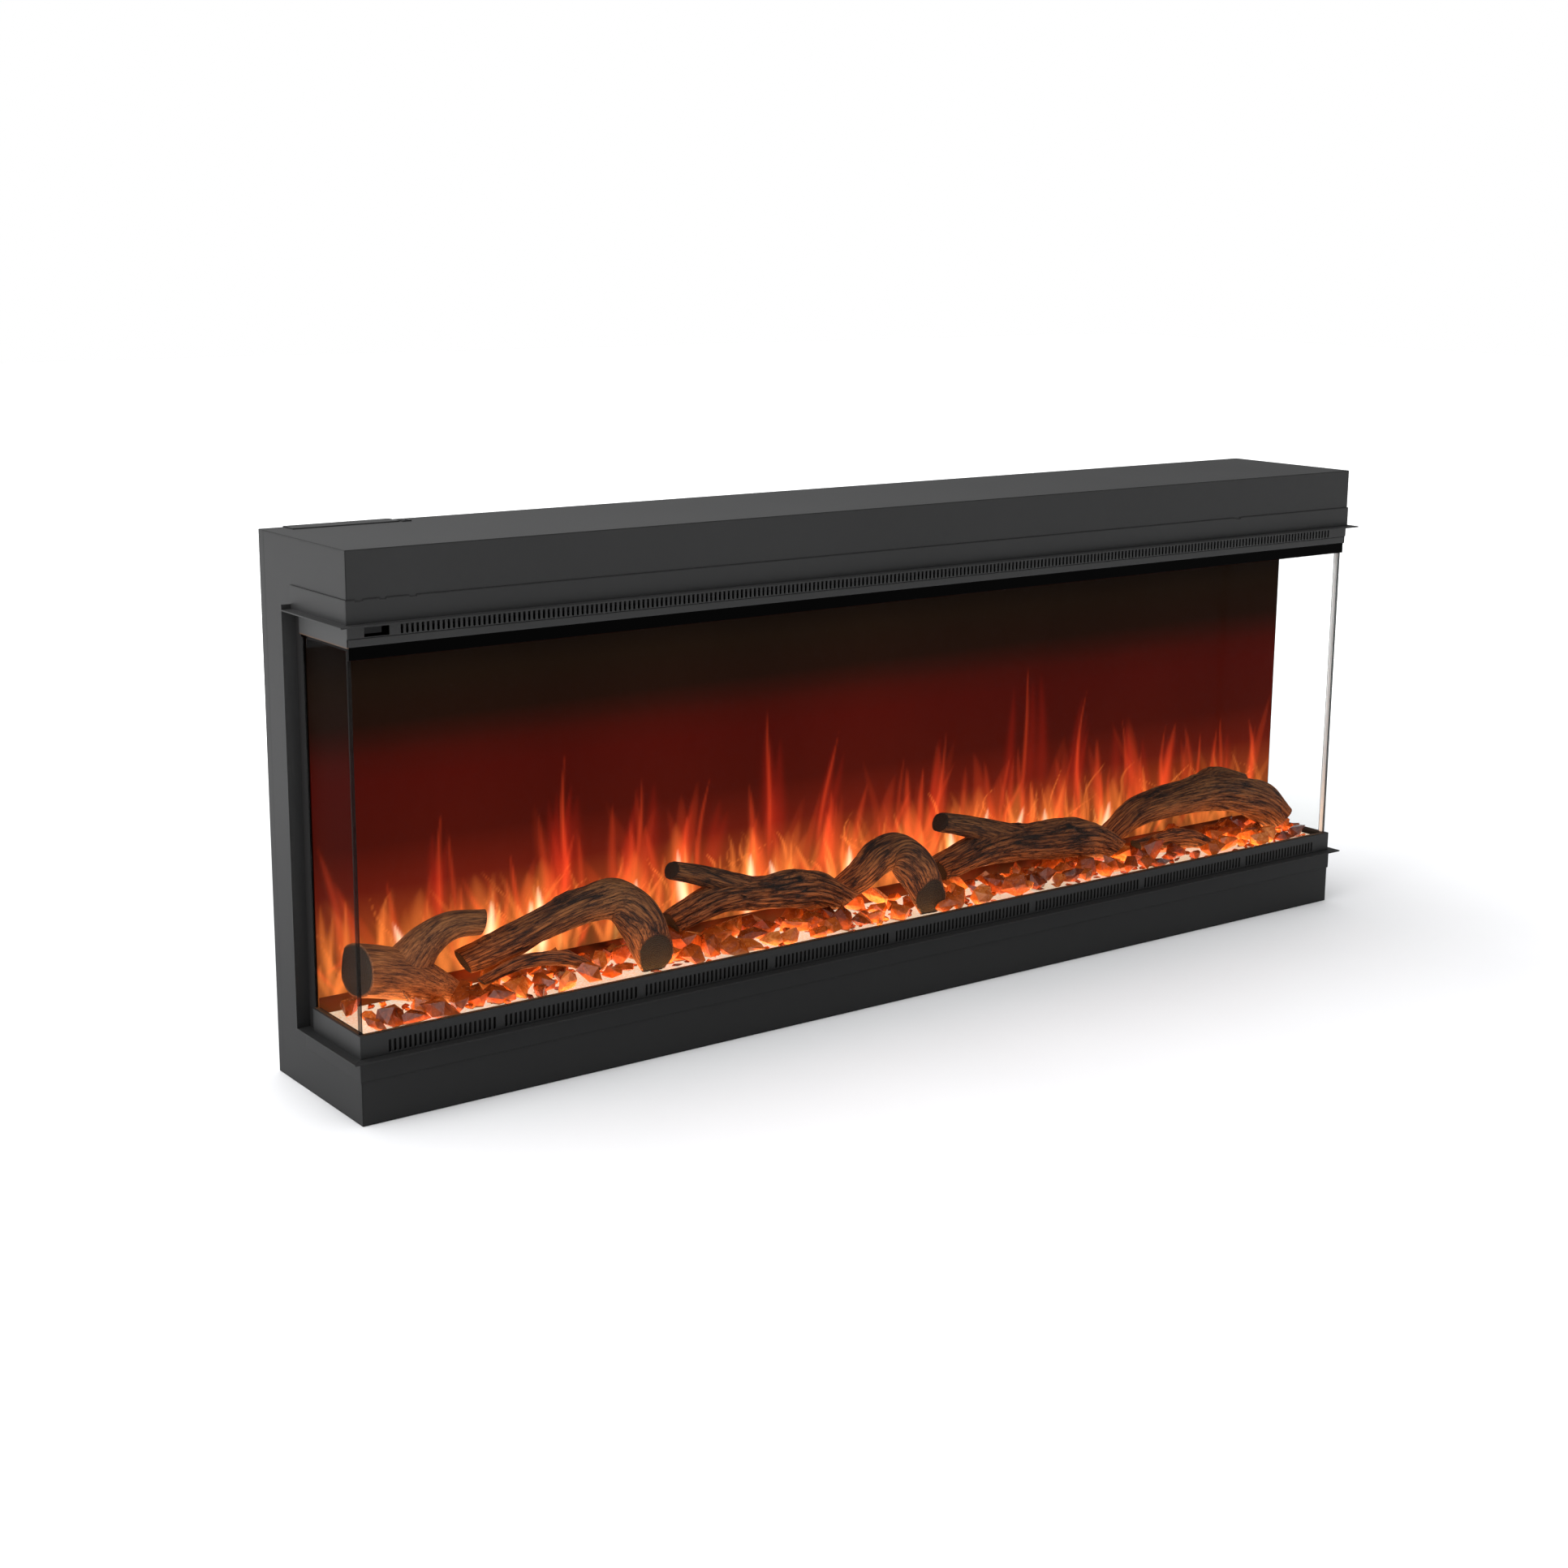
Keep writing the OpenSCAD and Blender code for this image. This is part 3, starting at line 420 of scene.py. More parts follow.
def flame_mirror(name):
    """Dark semi-mirror that carries the flame picture: the picture's colour is its own attribute,
    with a faint fine weave of the projection, over a glossy dark sheet."""
    made = Finish(name)
    picture = made.own("picture", "Color")
    place = made.place()
    weave = made.noise(700, 1.0, place)
    veil = made.noise(26, 4.0, made.stretched(place, (1.0, 1.0, 0.35)), 0.6, 1.5)
    share = 0.86 + weave * 0.16 + veil * 0.12
    return made.surface({
        "Base Color": tone(3, 2, 2),
        "Roughness": 0.07 + veil * 0.05,
        "Specular IOR Level": 0.008,
        "Emission Color": made.dimmed(picture, share),
        "Emission Strength": 1.0,
        "Normal": made.bump(veil, 0.00005, 0.2),
    })


def dress_frame():
    """Gives every CAD node the finish of its record slot."""
    side, front, back = ("X", CASE_HIGH[0]), ("Y", -CASE_LOW[1]), ("Y", CASE_HIGH[1])
    roof, foot = ("Z", CASE_HIGH[2]), ("Z", 0.0)
    trim_top, trim_foot = ("Z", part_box("top_trim_front")[1][2]), ("Z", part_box("bottom_trim_front")[0][2])
    # In each coat, fade is the strength of painted shade towards the floor, and each fold it is given gets a
    # thin dark line of painted shade: along the casing's edges, over the top trim where a gap shadow falls,
    # and under the bottom trim's foot
    finishes = {
        "casing_steel": powder_coat(
            "charcoal powder coat", tone(36, 36, 36), 0.48, corner=0.001, fade=0.62,
            shaded_folds=((side, front), (front, roof), (side, roof), (side, back), (side, foot), (front, foot))),
        "back_steel": powder_coat("back panel coat", tone(42, 42, 43), 0.52, grain=1800),
        "trim_steel": powder_coat(
            "trim coat", tone(36, 36, 36), 0.46, corner=0.0008, fade=0.6,
            shaded_folds=((trim_top,), (trim_foot,))),
        "band_steel": powder_coat("band coat", tone(43, 43, 43), 0.4, corner=0.0009, fade=0.5),
        "inner_black": powder_coat("inner matt black", tone(16, 15, 15), 0.7, corner=0.0),
        "amber_seal": moulded("amber silicone", tone(70, 44, 20), 0.5, 600),
        "receiver_plastic": moulded("receiver window", tone(12, 12, 13), 0.35, 300, 0.15),
        "flame_screen": moulded("screen back", tone(20, 8, 6), 0.2, 500),
        "rail_metal": bare_metal("rail metal", tone(120, 70, 40), 0.4, (0.02, 1.0, 1.0)),
        "tray_black": powder_coat("tray satin black", tone(16, 15, 14), 0.5, 1500, 0.0),
        "ember_plate": lit_sand("lit sand plate"),
        "foil": bare_metal("reflecting foil", tone(226, 228, 232), 0.12, (1.0, 0.1, 1.0)),
        "bearing_plastic": moulded("nylon", tone(216, 212, 200), 0.45),
        "motor_case": powder_coat("motor case", tone(58, 60, 64), 0.4, 900, 0.0003),
        "galvanised": bare_metal("galvanised sheet", tone(176, 180, 184), 0.32, (0.3, 1.0, 1.0)),
        "wheel_alloy": bare_metal("wheel alloy", tone(198, 200, 204), 0.25, (0.05, 1.0, 1.0)),
        "element_metal": bare_metal(
            "element metal", tone(186, 178, 166), 0.3, (1.0, 1.0, 0.1), tone(150, 110, 80)),
        "terminal_plastic": moulded("ivory terminal", tone(214, 206, 182), 0.35),
        "black_plastic": moulded("black nylon", tone(24, 24, 25), 0.45),
        "rocker_plastic": moulded("gloss rocker", tone(20, 20, 21), 0.18, 400),
        "zinc_screw": bare_metal("zinc screw", tone(150, 150, 154), 0.3, (1.0, 1.0, 0.2)),
    }
    by_node = {
        "front_glass": pane("front pane", 0.497, haze=0.012),
        # The left pane's polished edge: near-black painted reflection with faint grey painted highlight lines
        "left_glass": pane("left pane", 0.5065, (-0.0925, -0.0896), haze=0.045),
        # The right pane's polished edge: a pale strip of painted reflection with dark painted lines along it
        "right_glass": pane("right pane", 0.5065, (-0.0925, -0.0846), (222, 224, 224), (40, 42, 42), 0.0),
    }
    lamps, parts = tone(250, 232, 160), tone(40, 40, 44)
    boards = (("ember_light_board", 0.0016, lamps), ("flame_light_board", 0.0016, lamps),
              ("control_board", 0.0076, parts))
    for node, board_top, above in boards:
        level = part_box(node)[0][2] + board_top
        by_node[node] = circuit(node + " finish", tone(20, 78, 40), above, level + 0.0002)
    finishes["driftwood"] = bark("plain bark", tone(30, 18, 10), tone(84, 52, 28), tone(126, 84, 48))
    finishes["amber_stone"] = finishes["amber_seal"]
    for node, piece in NODES.items():
        finish = by_node.get(node) or finishes[SLOT_OF[node]]
        for place in piece.material_slots:
            place.material = finish


# ---- Meshes ----


def new_piece(name, points, faces, finish, attributes=(), smooth=True):
    """A mesh from point and face arrays, with point attributes, riding on the cabinet."""
    mesh = bpy.data.meshes.new(name)
    mesh.from_pydata(points.tolist(), [], faces)
    mesh.polygons.foreach_set("use_smooth", [smooth] * len(mesh.polygons))
    for label, values in dict(attributes).items():
        kind, key = {1: ("FLOAT", "value"), 3: ("FLOAT_VECTOR", "vector"), 4: ("FLOAT_COLOR", "color")}[
            values.shape[1] if values.ndim > 1 else 1
        ]
        mesh.attributes.new(label, kind, "POINT").data.foreach_set(key, values.astype(np.float32).ravel())
    mesh.materials.append(finish)
    mesh.update()
    piece = bpy.data.objects.new(name, mesh)
    bpy.context.scene.collection.objects.link(piece)
    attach(piece, "cabinet")
    return piece


def ring_faces(rows, around):
    """Quads between each ring and the next, then a fan at each end to a pole. The poles are the last
    two points: first the one before the first ring, then the one after the last."""
    row, turn = np.meshgrid(np.arange(rows - 1), np.arange(around), indexing="ij")
    here, there = row * around + turn, row * around + (turn + 1) % around
    quads = np.stack([here, there, there + around, here + around], -1).reshape(-1, 4)
    spot = np.arange(around)
    beyond = (spot + 1) % around
    first, last = rows * around, rows * around + 1
    base = (rows - 1) * around
    start = np.stack([beyond, spot, np.full(around, first)], -1)
    end = np.stack([base + spot, base + beyond, np.full(around, last)], -1)
    return quads.tolist() + start.tolist() + end.tolist()


def carried(table, count):
    """A Catmull-Rom curve through the rows of a table, at count even steps of its parameter."""
    table = np.asarray(table, float)
    padded = np.vstack([2 * table[0] - table[1], table, 2 * table[-1] - table[-2]])
    t = np.linspace(0, len(table) - 1 - 1e-9, count)
    k = t.astype(int)
    f = (t - k)[:, None]
    a, b, c, d = padded[k], padded[k + 1], padded[k + 2], padded[k + 3]
    return 0.5 * (2 * b + (c - a) * f + (2 * a - 5 * b + 4 * c - d) * f**2 + (3 * b - a - 3 * c + d) * f**3)


def furrows(rng, turn, run, count, turns, drift):
    """Waves that go a whole number of turns round a log and wander slowly along it, added up: near
    zero along wandering lengthwise lines."""
    total = np.zeros(np.broadcast(turn, run).shape)
    for _ in range(count):
        m = rng.integers(*turns)
        phase = rng.uniform(0, 2 * math.pi) + drift * rng.normal() * run
        sway = rng.uniform(0.6, 1.8) * np.sin(run * rng.uniform(0.012, 0.05) + rng.uniform(0, 6.3))
        total = total + rng.uniform(0.5, 1.0) * np.sin(m * turn + phase + sway)
    return total / math.sqrt(count)


# An end face: the rings drawn on it as shares of the outline, how far it stands out in millimetres,
# and the share that parts the worn edge outside from the sawn face inside
FACE_RINGS = [0.97, 0.9, 0.75, 0.55, 0.35, 0.15]
PROUD = 0.8
WORN_EDGE = 0.95


def wood_limb(rng, table, around, step, rough, lumps, knots, cuts, oval=0.0):
    """One limb, in millimetres: rings carried along a smooth curve, pushed out and in by the bark.

    The table's rows are x, y, z and radius. A point's reach is the radius times one plus lumps and
    an oval, minus furrows as deep as the log is rough, plus knots that stand out as a bell with a
    ringed dip. A knot's row is its place along the limb, its angle, its size and its height. The
    cuts slant the two end faces: each is how far the face leans towards the side and up, as slopes.
    """
    length = np.linalg.norm(np.diff(np.array(table)[:, :3], axis=0), axis=1).sum()
    count = max(int(length / step), 24)
    rows = carried(table, count)
    centre, radius = rows[:, :3], np.maximum(rows[:, 3], 3.0)
    tangent = np.gradient(centre, axis=0)
    tangent /= np.linalg.norm(tangent, axis=1, keepdims=True)
    back = np.array([0.0, 1.0, 0.0])
    across = back - tangent * (tangent @ back)[:, None]
    across /= np.linalg.norm(across, axis=1, keepdims=True)
    upward = np.cross(tangent, across)
    run = np.concatenate([[0], np.cumsum(np.linalg.norm(np.diff(centre, axis=0), axis=1))])[:, None]
    turn = np.linspace(0, 2 * math.pi, around, endpoint=False)[None, :]
    swell = lumps * furrows(rng, turn, run, 9, (1, 5), 0.012)
    grooves = furrows(rng, turn, run, 16, (7, 22), 0.03)
    fine = furrows(rng, turn, run, 16, (22, 44), 0.07)
    depth = np.minimum(np.abs(grooves) * 1.5, 1) ** 0.55 * 0.7
    depth = depth + np.minimum(np.abs(fine) * 1.6, 1) ** 0.6 * 0.3
    reach = radius[:, None] * (1 + swell + oval * np.cos(2 * turn)) + (depth - 0.75) * rough
    for spot, facing, size, rise in knots:
        gap = np.angle(np.exp(1j * (turn - facing))) * radius[:, None]
        far = np.hypot((run - spot * run[-1]), gap) / size
        bell = np.exp(-far**2)
        reach = reach + rise * bell * (1 - 0.55 * np.exp(-(far * 3.2) ** 2)) + 0.5 * np.cos(far * 9) * bell
        depth = depth - 0.6 * np.exp(-(far * 2.6) ** 2)
    circle = across[:, None, :] * np.cos(turn)[..., None] + upward[:, None, :] * np.sin(turn)[..., None]
    offset = circle * reach[..., None]
    for end, slopes in ((0, cuts[0]), (-1, cuts[1])):
        away = np.abs(run - run[end]) / (2.2 * radius[end])
        share = np.clip(1 - away, 0, 1) ** 1.5
        lean = slopes[0] * np.cos(turn) + slopes[1] * np.sin(turn)
        offset = offset + tangent[:, None, :] * (share * lean * reach * (1 if end else -1))[..., None]
    ring = centre[:, None, :] + offset
    start_rows = [centre[0] + offset[0] * s - tangent[0] * PROUD * (s < WORN_EDGE) for s in FACE_RINGS[::-1]]
    end_rows = [centre[-1] + offset[-1] * s + tangent[-1] * PROUD * (s < WORN_EDGE) for s in FACE_RINGS]
    points = np.concatenate([np.array(start_rows), ring, np.array(end_rows)])
    shares = np.concatenate([FACE_RINGS[::-1], np.ones(count), FACE_RINGS])[:, None]

    def with_faces(values):
        """Rows of values with the first and the last repeated for the rings of the end faces."""
        more = len(FACE_RINGS)
        return np.concatenate([np.repeat(values[:1], more, 0), values, np.repeat(values[-1:], more, 0)])

    reaches = with_faces(reach) * shares
    grain = np.stack([reaches * np.cos(turn), reaches * np.sin(turn), with_faces(run) + 0 * turn], -1)
    sawn = np.repeat((shares < WORN_EDGE).astype(float), around, 1)
    poles = np.array([centre[0] - tangent[0] * PROUD, centre[-1] + tangent[-1] * PROUD])
    return {
        "points": np.concatenate([points.reshape(-1, 3), poles]) / 1000,
        "faces": ring_faces(len(points), around),
        "grain": np.concatenate([grain.reshape(-1, 3), [[0, 0, run[0, 0]], [0, 0, run[-1, 0]]]]),
        "depth": np.concatenate([with_faces(depth).ravel(), [0.6, 0.6]]),
        "sawn": np.concatenate([sawn.ravel(), [1.0, 1.0]]),
    }


def joined(limbs):
    """Limbs' points, faces and attributes as one mesh; each limb stays a closed shell of its own."""
    faces, base = [], 0
    for limb in limbs:
        faces += [[corner + base for corner in face] for face in limb["faces"]]
        base += len(limb["points"])
    keys = ("points", "grain", "depth", "sawn")
    return {key: np.concatenate([limb[key] for limb in limbs]) for key in keys}, faces


# The logs' centrelines in millimetres: x, y, z and radius
FORK_TRUNK = [(-712, -16, 143, 31), (-686, -18, 137, 30), (-655, -24, 127, 27), (-622, -34, 112, 19),
              (-594, -44, 101, 7)]
FORK_BRANCH = [(-676, -22, 120, 27), (-652, -20, 142, 25), (-629, -18, 162, 20), (-600, -20, 175, 16),
               (-562, -22, 173, 14)]
ARCH_LEFT = [(-578, -6, 126, 15), (-524, -14, 142, 19), (-474, -20, 160, 19), (-426, -28, 174, 21),
             (-395, -38, 175, 25), (-377, -54, 152, 28), (-368, -76, 116, 24)]
TWIG_LEFT = [(-566, -26, 106, 5), (-521, -36, 123, 8), (-474, -48, 122, 9), (-432, -56, 102, 5)]
ARCH_MIDDLE = [(-50, -6, 122, 15), (-25, -14, 138, 19), (0, -24, 162, 21), (20, -36, 167, 25),
               (33, -53, 148, 27), (40, -76, 115, 23)]
ARCH_SPUR = [(560, -24, 156, 20), (590, -10, 176, 17), (622, -4, 180, 14), (662, -10, 168, 13)]
ARCH_RIGHT = [(397, -8, 117, 17), (420, -12, 137, 17), (455, -18, 157, 19), (540, -24, 166, 23),
              (599, -32, 165, 26), (658, -42, 149, 27), (702, -51, 115, 21)]
TWIG_RIGHT = [(441, -28, 112, 8), (492, -36, 114, 12), (523, -44, 113, 13), (566, -54, 100, 6)]

# The branched log and its stub, used twice: x from an anchor, z from the bed, and y from a plane
# that lies TABLE_FRONT in front of the frame's origin
BRANCHED = [(-128, 84, 35, 14), (-65, 80, 54, 20), (0, 76, 53, 22), (70, 70, 48, 23), (122, 63, 24, 13)]
BRANCHED_STUB = [(-14, 77, 55, 19), (-46, 80, 70, 15), (-86, 84, 86, 12), (-122, 88, 97, 11)]
TABLE_FRONT = 98


def at(anchor, table, grow=1.0):
    """A branched log's table in the frame, grown about its anchor and the frame's y of 0, but not in
    height."""
    floor = BED_TOP * 1000
    return [(anchor + x * grow, (y - TABLE_FRONT) * grow, floor + z, r * grow) for x, y, z, r in table]


BRANCHED_LEFT, STUB_LEFT = (at(-180, table) for table in (BRANCHED, BRANCHED_STUB))
BRANCHED_RIGHT, STUB_RIGHT = (at(249.75, table, 1.17) for table in (BRANCHED, BRANCHED_STUB))


def make_logs():
    """The eight pieces of driftwood, each standing for its CAD node."""
    smooth_tan = bark("smooth driftwood", tone(46, 24, 11), tone(104, 62, 31), tone(140, 90, 50), 0.45)
    lined = bark("lined bark", tone(20, 10, 5), tone(84, 48, 24), tone(132, 84, 46), 0.8)
    rugged = bark("rugged bark", tone(14, 8, 4), tone(72, 42, 22), tone(120, 76, 42), 0.95)
    # Finish, seed and limbs. A limb: centreline, points round it, millimetres from ring to ring,
    # roughness, lumps, knots, the slopes of its two ends and how oval it is
    plans = {
        "log_forked_left": (smooth_tan, 11, [
            (FORK_TRUNK, 128, 1.2, 1.0, 0.03, [], ((0.2, 0.1), (0.3, 0.0)), 0.05),
            (FORK_BRANCH, 112, 1.2, 0.8, 0.02, [], ((0.0, 0.0), (0.15, 0.25)), 0.0)]),
        "log_arch_left": (lined, 12, [
            (ARCH_LEFT, 144, 1.3, 3.0, 0.07, [(0.12, 1.9, 7, 5.0), (0.5, 1.2, 14, 3.0)],
             ((0.1, 0.2), (0.75, 0.2)), 0.05)]),
        "log_twig_left": (rugged, 13, [
            (TWIG_LEFT, 88, 1.2, 2.4, 0.1, [(0.7, 1.2, 5, 2.0)], ((0.3, 0.3), (0.5, 0.5)), 0.12)]),
        "log_branched_left": (rugged, 14, [
            (BRANCHED_LEFT, 152, 1.3, 5.0, 0.14,
             [(0.42, 1.7, 8, 6.0), (0.8, -1.2, 12, 4.0), (0.66, 2.4, 9, 4.0)],
             ((0.2, 0.1), (0.6, 0.7)), 0.08),
            (STUB_LEFT, 104, 1.2, 1.6, 0.04, [], ((0.0, 0.0), (0.3, 0.2)), 0.0)]),
        "log_arch_middle": (lined, 15, [
            (ARCH_MIDDLE, 144, 1.2, 2.8, 0.07, [(0.4, 1.4, 12, 3.0)], ((0.1, 0.2), (0.75, 0.2)), 0.04)]),
        "log_branched_right": (rugged, 16, [
            (BRANCHED_RIGHT, 152, 1.4, 5.4, 0.14,
             [(0.42, 1.7, 9, 6.5), (0.8, -1.2, 13, 4.0), (0.66, 2.4, 10, 5.0)],
             ((0.2, 0.1), (0.6, 0.7)), 0.08),
            (STUB_RIGHT, 104, 1.2, 1.7, 0.04, [], ((0.0, 0.0), (0.3, 0.2)), 0.0)]),
        "log_arch_right": (lined, 17, [
            (ARCH_RIGHT, 152, 1.4, 4.2, 0.10, [(0.55, 1.3, 18, 5.0), (0.3, 1.8, 8, 4.0)],
             ((0.1, 0.2), (0.4, 0.3)), 0.06),
            (ARCH_SPUR, 104, 1.3, 3.2, 0.08, [(0.5, 1.6, 8, 3.0)], ((0.0, 0.0), (0.2, 0.2)), 0.05)]),
        "log_twig_right": (rugged, 18, [
            (TWIG_RIGHT, 96, 1.2, 2.8, 0.11, [(0.45, 1.6, 6, 3.0)], ((0.3, 0.3), (0.5, 0.5)), 0.12)]),
    }
    for node, (finish, seed, limbs) in plans.items():
        rng = np.random.default_rng(seed)
        parts, faces = joined([wood_limb(rng, *limb) for limb in limbs])
        points = parts.pop("points")
        keep_inside(points)
        name = node.replace("log_", "driftwood_")
        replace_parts(new_piece(name, points, faces, finish, parts), node)


def keep_inside(points):
    """Holds points 0.2 mm above the bed, and within its front, its ends and the screen's rail by half
    a millimetre or more."""
    rail_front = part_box("screen_foot_rail")[0][1]
    low = np.array([BED_LOW[0] + 0.001, BED_LOW[1] + 0.0012, BED_TOP + 0.0002])
    high = np.array([BED_HIGH[0] - 0.001, rail_front - 0.0006, 0.5])
    np.clip(points, low, high, out=points)


def ball():
    """Directions and triangles of an icosahedron: 12 points and 20 faces."""
    g = (1 + 5**0.5) / 2
    corners = np.array([(-1, g, 0), (1, g, 0), (-1, -g, 0), (1, -g, 0), (0, -1, g), (0, 1, g), (0, -1, -g),
                        (0, 1, -g), (g, 0, -1), (g, 0, 1), (-g, 0, -1), (-g, 0, 1)])
    faces = np.array([(0, 11, 5), (0, 5, 1), (0, 1, 7), (0, 7, 10), (0, 10, 11), (1, 5, 9), (5, 11, 4),
                      (11, 10, 2), (10, 7, 6), (7, 1, 8), (3, 9, 4), (3, 4, 2), (3, 2, 6), (3, 6, 8),
                      (3, 8, 9), (4, 9, 5), (2, 4, 11), (6, 2, 10), (8, 6, 7), (9, 8, 1)])
    return corners / np.linalg.norm(corners, axis=1, keepdims=True), faces


def broken_stones(rng, centres, sizes, squash):
    """Broken stones: the twelve corners of an icosahedron, each moved in or out and a little aside at
    random, so the faces are flat and the edges sharp. Then each is squashed, leant and turned."""
    directions, faces = ball()
    number, corners = len(centres), len(directions)
    shape = directions[None] + rng.normal(0, 0.2, (number, corners, 3))
    shape *= rng.uniform(0.72, 1.18, (number, corners, 1)) * squash[:, None, :]
    shape[..., 0] += shape[..., 2] * rng.normal(0, 0.4, (number, 1))
    angle = rng.uniform(0, 2 * math.pi, number)
    cos, sin = np.cos(angle)[:, None], np.sin(angle)[:, None]
    x, y, z = np.moveaxis(shape, -1, 0)
    shape = np.stack([x * cos - y * sin, x * sin + y * cos, z], -1)
    shape *= sizes[:, None, None]
    low = shape[..., 2].min(1, keepdims=True)
    # glow: 1 at a stone's lowest point and 0 at its top; it drives the painted glow from below
    glow = 1 - (shape[..., 2] - low) / (shape[..., 2].max(1, keepdims=True) - low)
    points = shape + centres[:, None, :]
    points[..., 2] -= low
    every = (faces[None] + (np.arange(number) * corners)[:, None, None]).reshape(-1, 3)
    return points.reshape(-1, 3), every, glow.ravel()


def scattered(rng, count, gap, density, blocked):
    """Seeded darts on the bed: a dart stays if the density there allows it and it is a gap clear of
    the others and of the logs' feet."""
    margin, tries = 0.014, 60
    kept = np.zeros((0, 2))
    low = np.array([BED_LOW[0] + margin, BED_LOW[1] + margin])
    high = np.array([BED_HIGH[0] - margin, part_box("screen_foot_rail")[0][1] - margin])
    for _ in range(count * tries):
        dart = rng.uniform(low, high)
        if rng.random() > density(dart) or len(kept) and (np.hypot(*(kept - dart).T) < gap).any():
            continue
        if (np.hypot(*(blocked[:, :2] - dart).T) < blocked[:, 2]).any():
            continue
        kept = np.vstack([kept, dart])
        if len(kept) == count:
            break
    return kept


def make_stones():
    """Amber stones and chips over the lit bed, thicker towards the right."""
    feet = []
    for table in (FORK_TRUNK, ARCH_LEFT, TWIG_LEFT, BRANCHED_LEFT, ARCH_MIDDLE, BRANCHED_RIGHT,
                  ARCH_RIGHT, TWIG_RIGHT):
        rows = carried(table, 24) / 1000
        low = rows[:, 2] - rows[:, 3] < BED_TOP + 0.016
        feet.append(np.column_stack([rows[low, 0], rows[low, 1], rows[low, 3] * 0.8 + 0.006]))
    blocked = np.vstack(feet)

    def density(spot):
        """More stones to the right; bare sand in pools on the left."""
        right = (spot[0] - BED_LOW[0]) / (BED_HIGH[0] - BED_LOW[0])
        pool = 0.5 + 0.5 * math.sin(spot[0] * 31 + 1.3) * math.cos(spot[1] * 60 + spot[0] * 9)
        return 0.3 + 0.6 * right + 0.25 * (0.5 - pool)

    # How many at most, how far apart, clear of what, sizes, squash on each axis and height over the bed
    kinds = (
        (190, 0.0212, blocked, (0.0105, 0.0180), ((0.9, 1.35), (0.7, 1.0), (0.55, 0.95)), 0.0004),
        (260, 0.010, np.zeros((0, 3)), (0.0026, 0.0056), ((1.0, 2.2), (0.6, 1.0), (0.4, 0.8)), 0.0003),
    )
    rng = np.random.default_rng(5)
    points, faces, glows, hues = np.zeros((0, 3)), [], [], []
    for count, gap, clear_of, size_range, squash_ranges, lift in kinds:
        spots = scattered(rng, count, gap, density, clear_of)
        sizes = rng.uniform(*size_range, len(spots))
        squash = np.column_stack([rng.uniform(*span, len(spots)) for span in squash_ranges])
        centres = np.column_stack([spots, np.full(len(spots), BED_TOP + lift)])
        more, more_faces, glow = broken_stones(rng, centres, sizes, squash)
        faces += (more_faces + len(points)).tolist()
        points = np.vstack([points, more])
        glows.append(glow)
        hues.append(np.repeat(rng.random(len(spots)), len(more) // len(spots)))
    keep_inside(points)
    extras = {"glow": np.concatenate(glows), "hue": np.concatenate(hues)}
    finish = amber("broken amber")
    stones = new_piece("amber_stones", points, faces, finish, extras, smooth=False)
    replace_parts(stones, "ember_stones")


# ---- The flame picture ----

# Heights above the floor and the glow there, before any flame
GLOW = [
    (0.075, (0.16, 0.045, 0.012)), (0.13, (0.20, 0.050, 0.012)), (0.16, (0.32, 0.062, 0.013)),
    (0.19, (0.26, 0.034, 0.009)), (0.22, (0.14, 0.011, 0.0045)), (0.27, (0.072, 0.0055, 0.0026)),
    (0.34, (0.068, 0.0040, 0.0022)), (0.365, (0.055, 0.0042, 0.0022)), (0.385, (0.031, 0.0045, 0.0023)),
    (0.405, (0.014, 0.0046, 0.0022)), (0.45, (0.011, 0.0052, 0.0024)), (0.475, (0.006, 0.003, 0.0016)),
    (0.515, (0.002, 0.0012, 0.0009)),
]
# White-hot cores and tall red tongues, in millimetres: x of the foot, z of the tip, and for the tall
# ones how far they lean
CORES = [(-637, 184), (-531, 190), (-485, 182), (-468, 196), (-264, 210), (-176, 190), (-124, 176),
         (-25, 176), (204, 192), (254, 186), (309, 178), (419, 172), (70, 180), (145, 176), (-345, 184)]
TALL = [(-438, 345, 10), (-428, 312, -6), (-340, 305, 12), (-148, 372, 3), (-68, 322, 26), (272, 380, -4),
        (360, 330, 22), (528, 262, 3), (641, 262, 2), (-600, 300, 14), (-250, 290, 18), (120, 300, 12),
        (456, 282, -8)]
# Random tongues, in metres: layer, number, how far left and right they stand, lowest tip and added
# height over the bed, the power that makes tall ones rare, feet, widths, lean, sway, how soon they
# are fully bright, light, and how crisp they are. Pairs are from and to
TONGUES = [
    ("red", 70, 0.74, 0.07, 0.13, 1.4, (0, 0), (0.009, 0.022), 0.03, 0.010, 0.3, (0.08, 0.22), 4.0),
    ("orange", 130, 0.74, 0.04, 0.085, 1.3, (-0.01, -0.01), (0.007, 0.018), 0.028, 0.009, 0.25,
     (0.08, 0.26), 4.0),
    ("red", 150, 0.735, 0.055, 0.13, 1.7, (0, 0.04), (0.004, 0.010), 0.018, 0.006, 0.35, (0.15, 0.5), 2.0),
    ("orange", 150, 0.735, 0.045, 0.075, 1.4, (0, 0), (0.003, 0.008), 0.018, 0.006, 0.4, (0.2, 0.8), 2.6),
]
# The layers' colours of light
TINTS = {
    "deep": (1.25, 0.04, 0.014), "red": (1.2, 0.095, 0.022), "orange": (1.15, 0.28, 0.05),
    "yellow": (1.0, 0.55, 0.15), "white": (1.0, 0.86, 0.6),
}


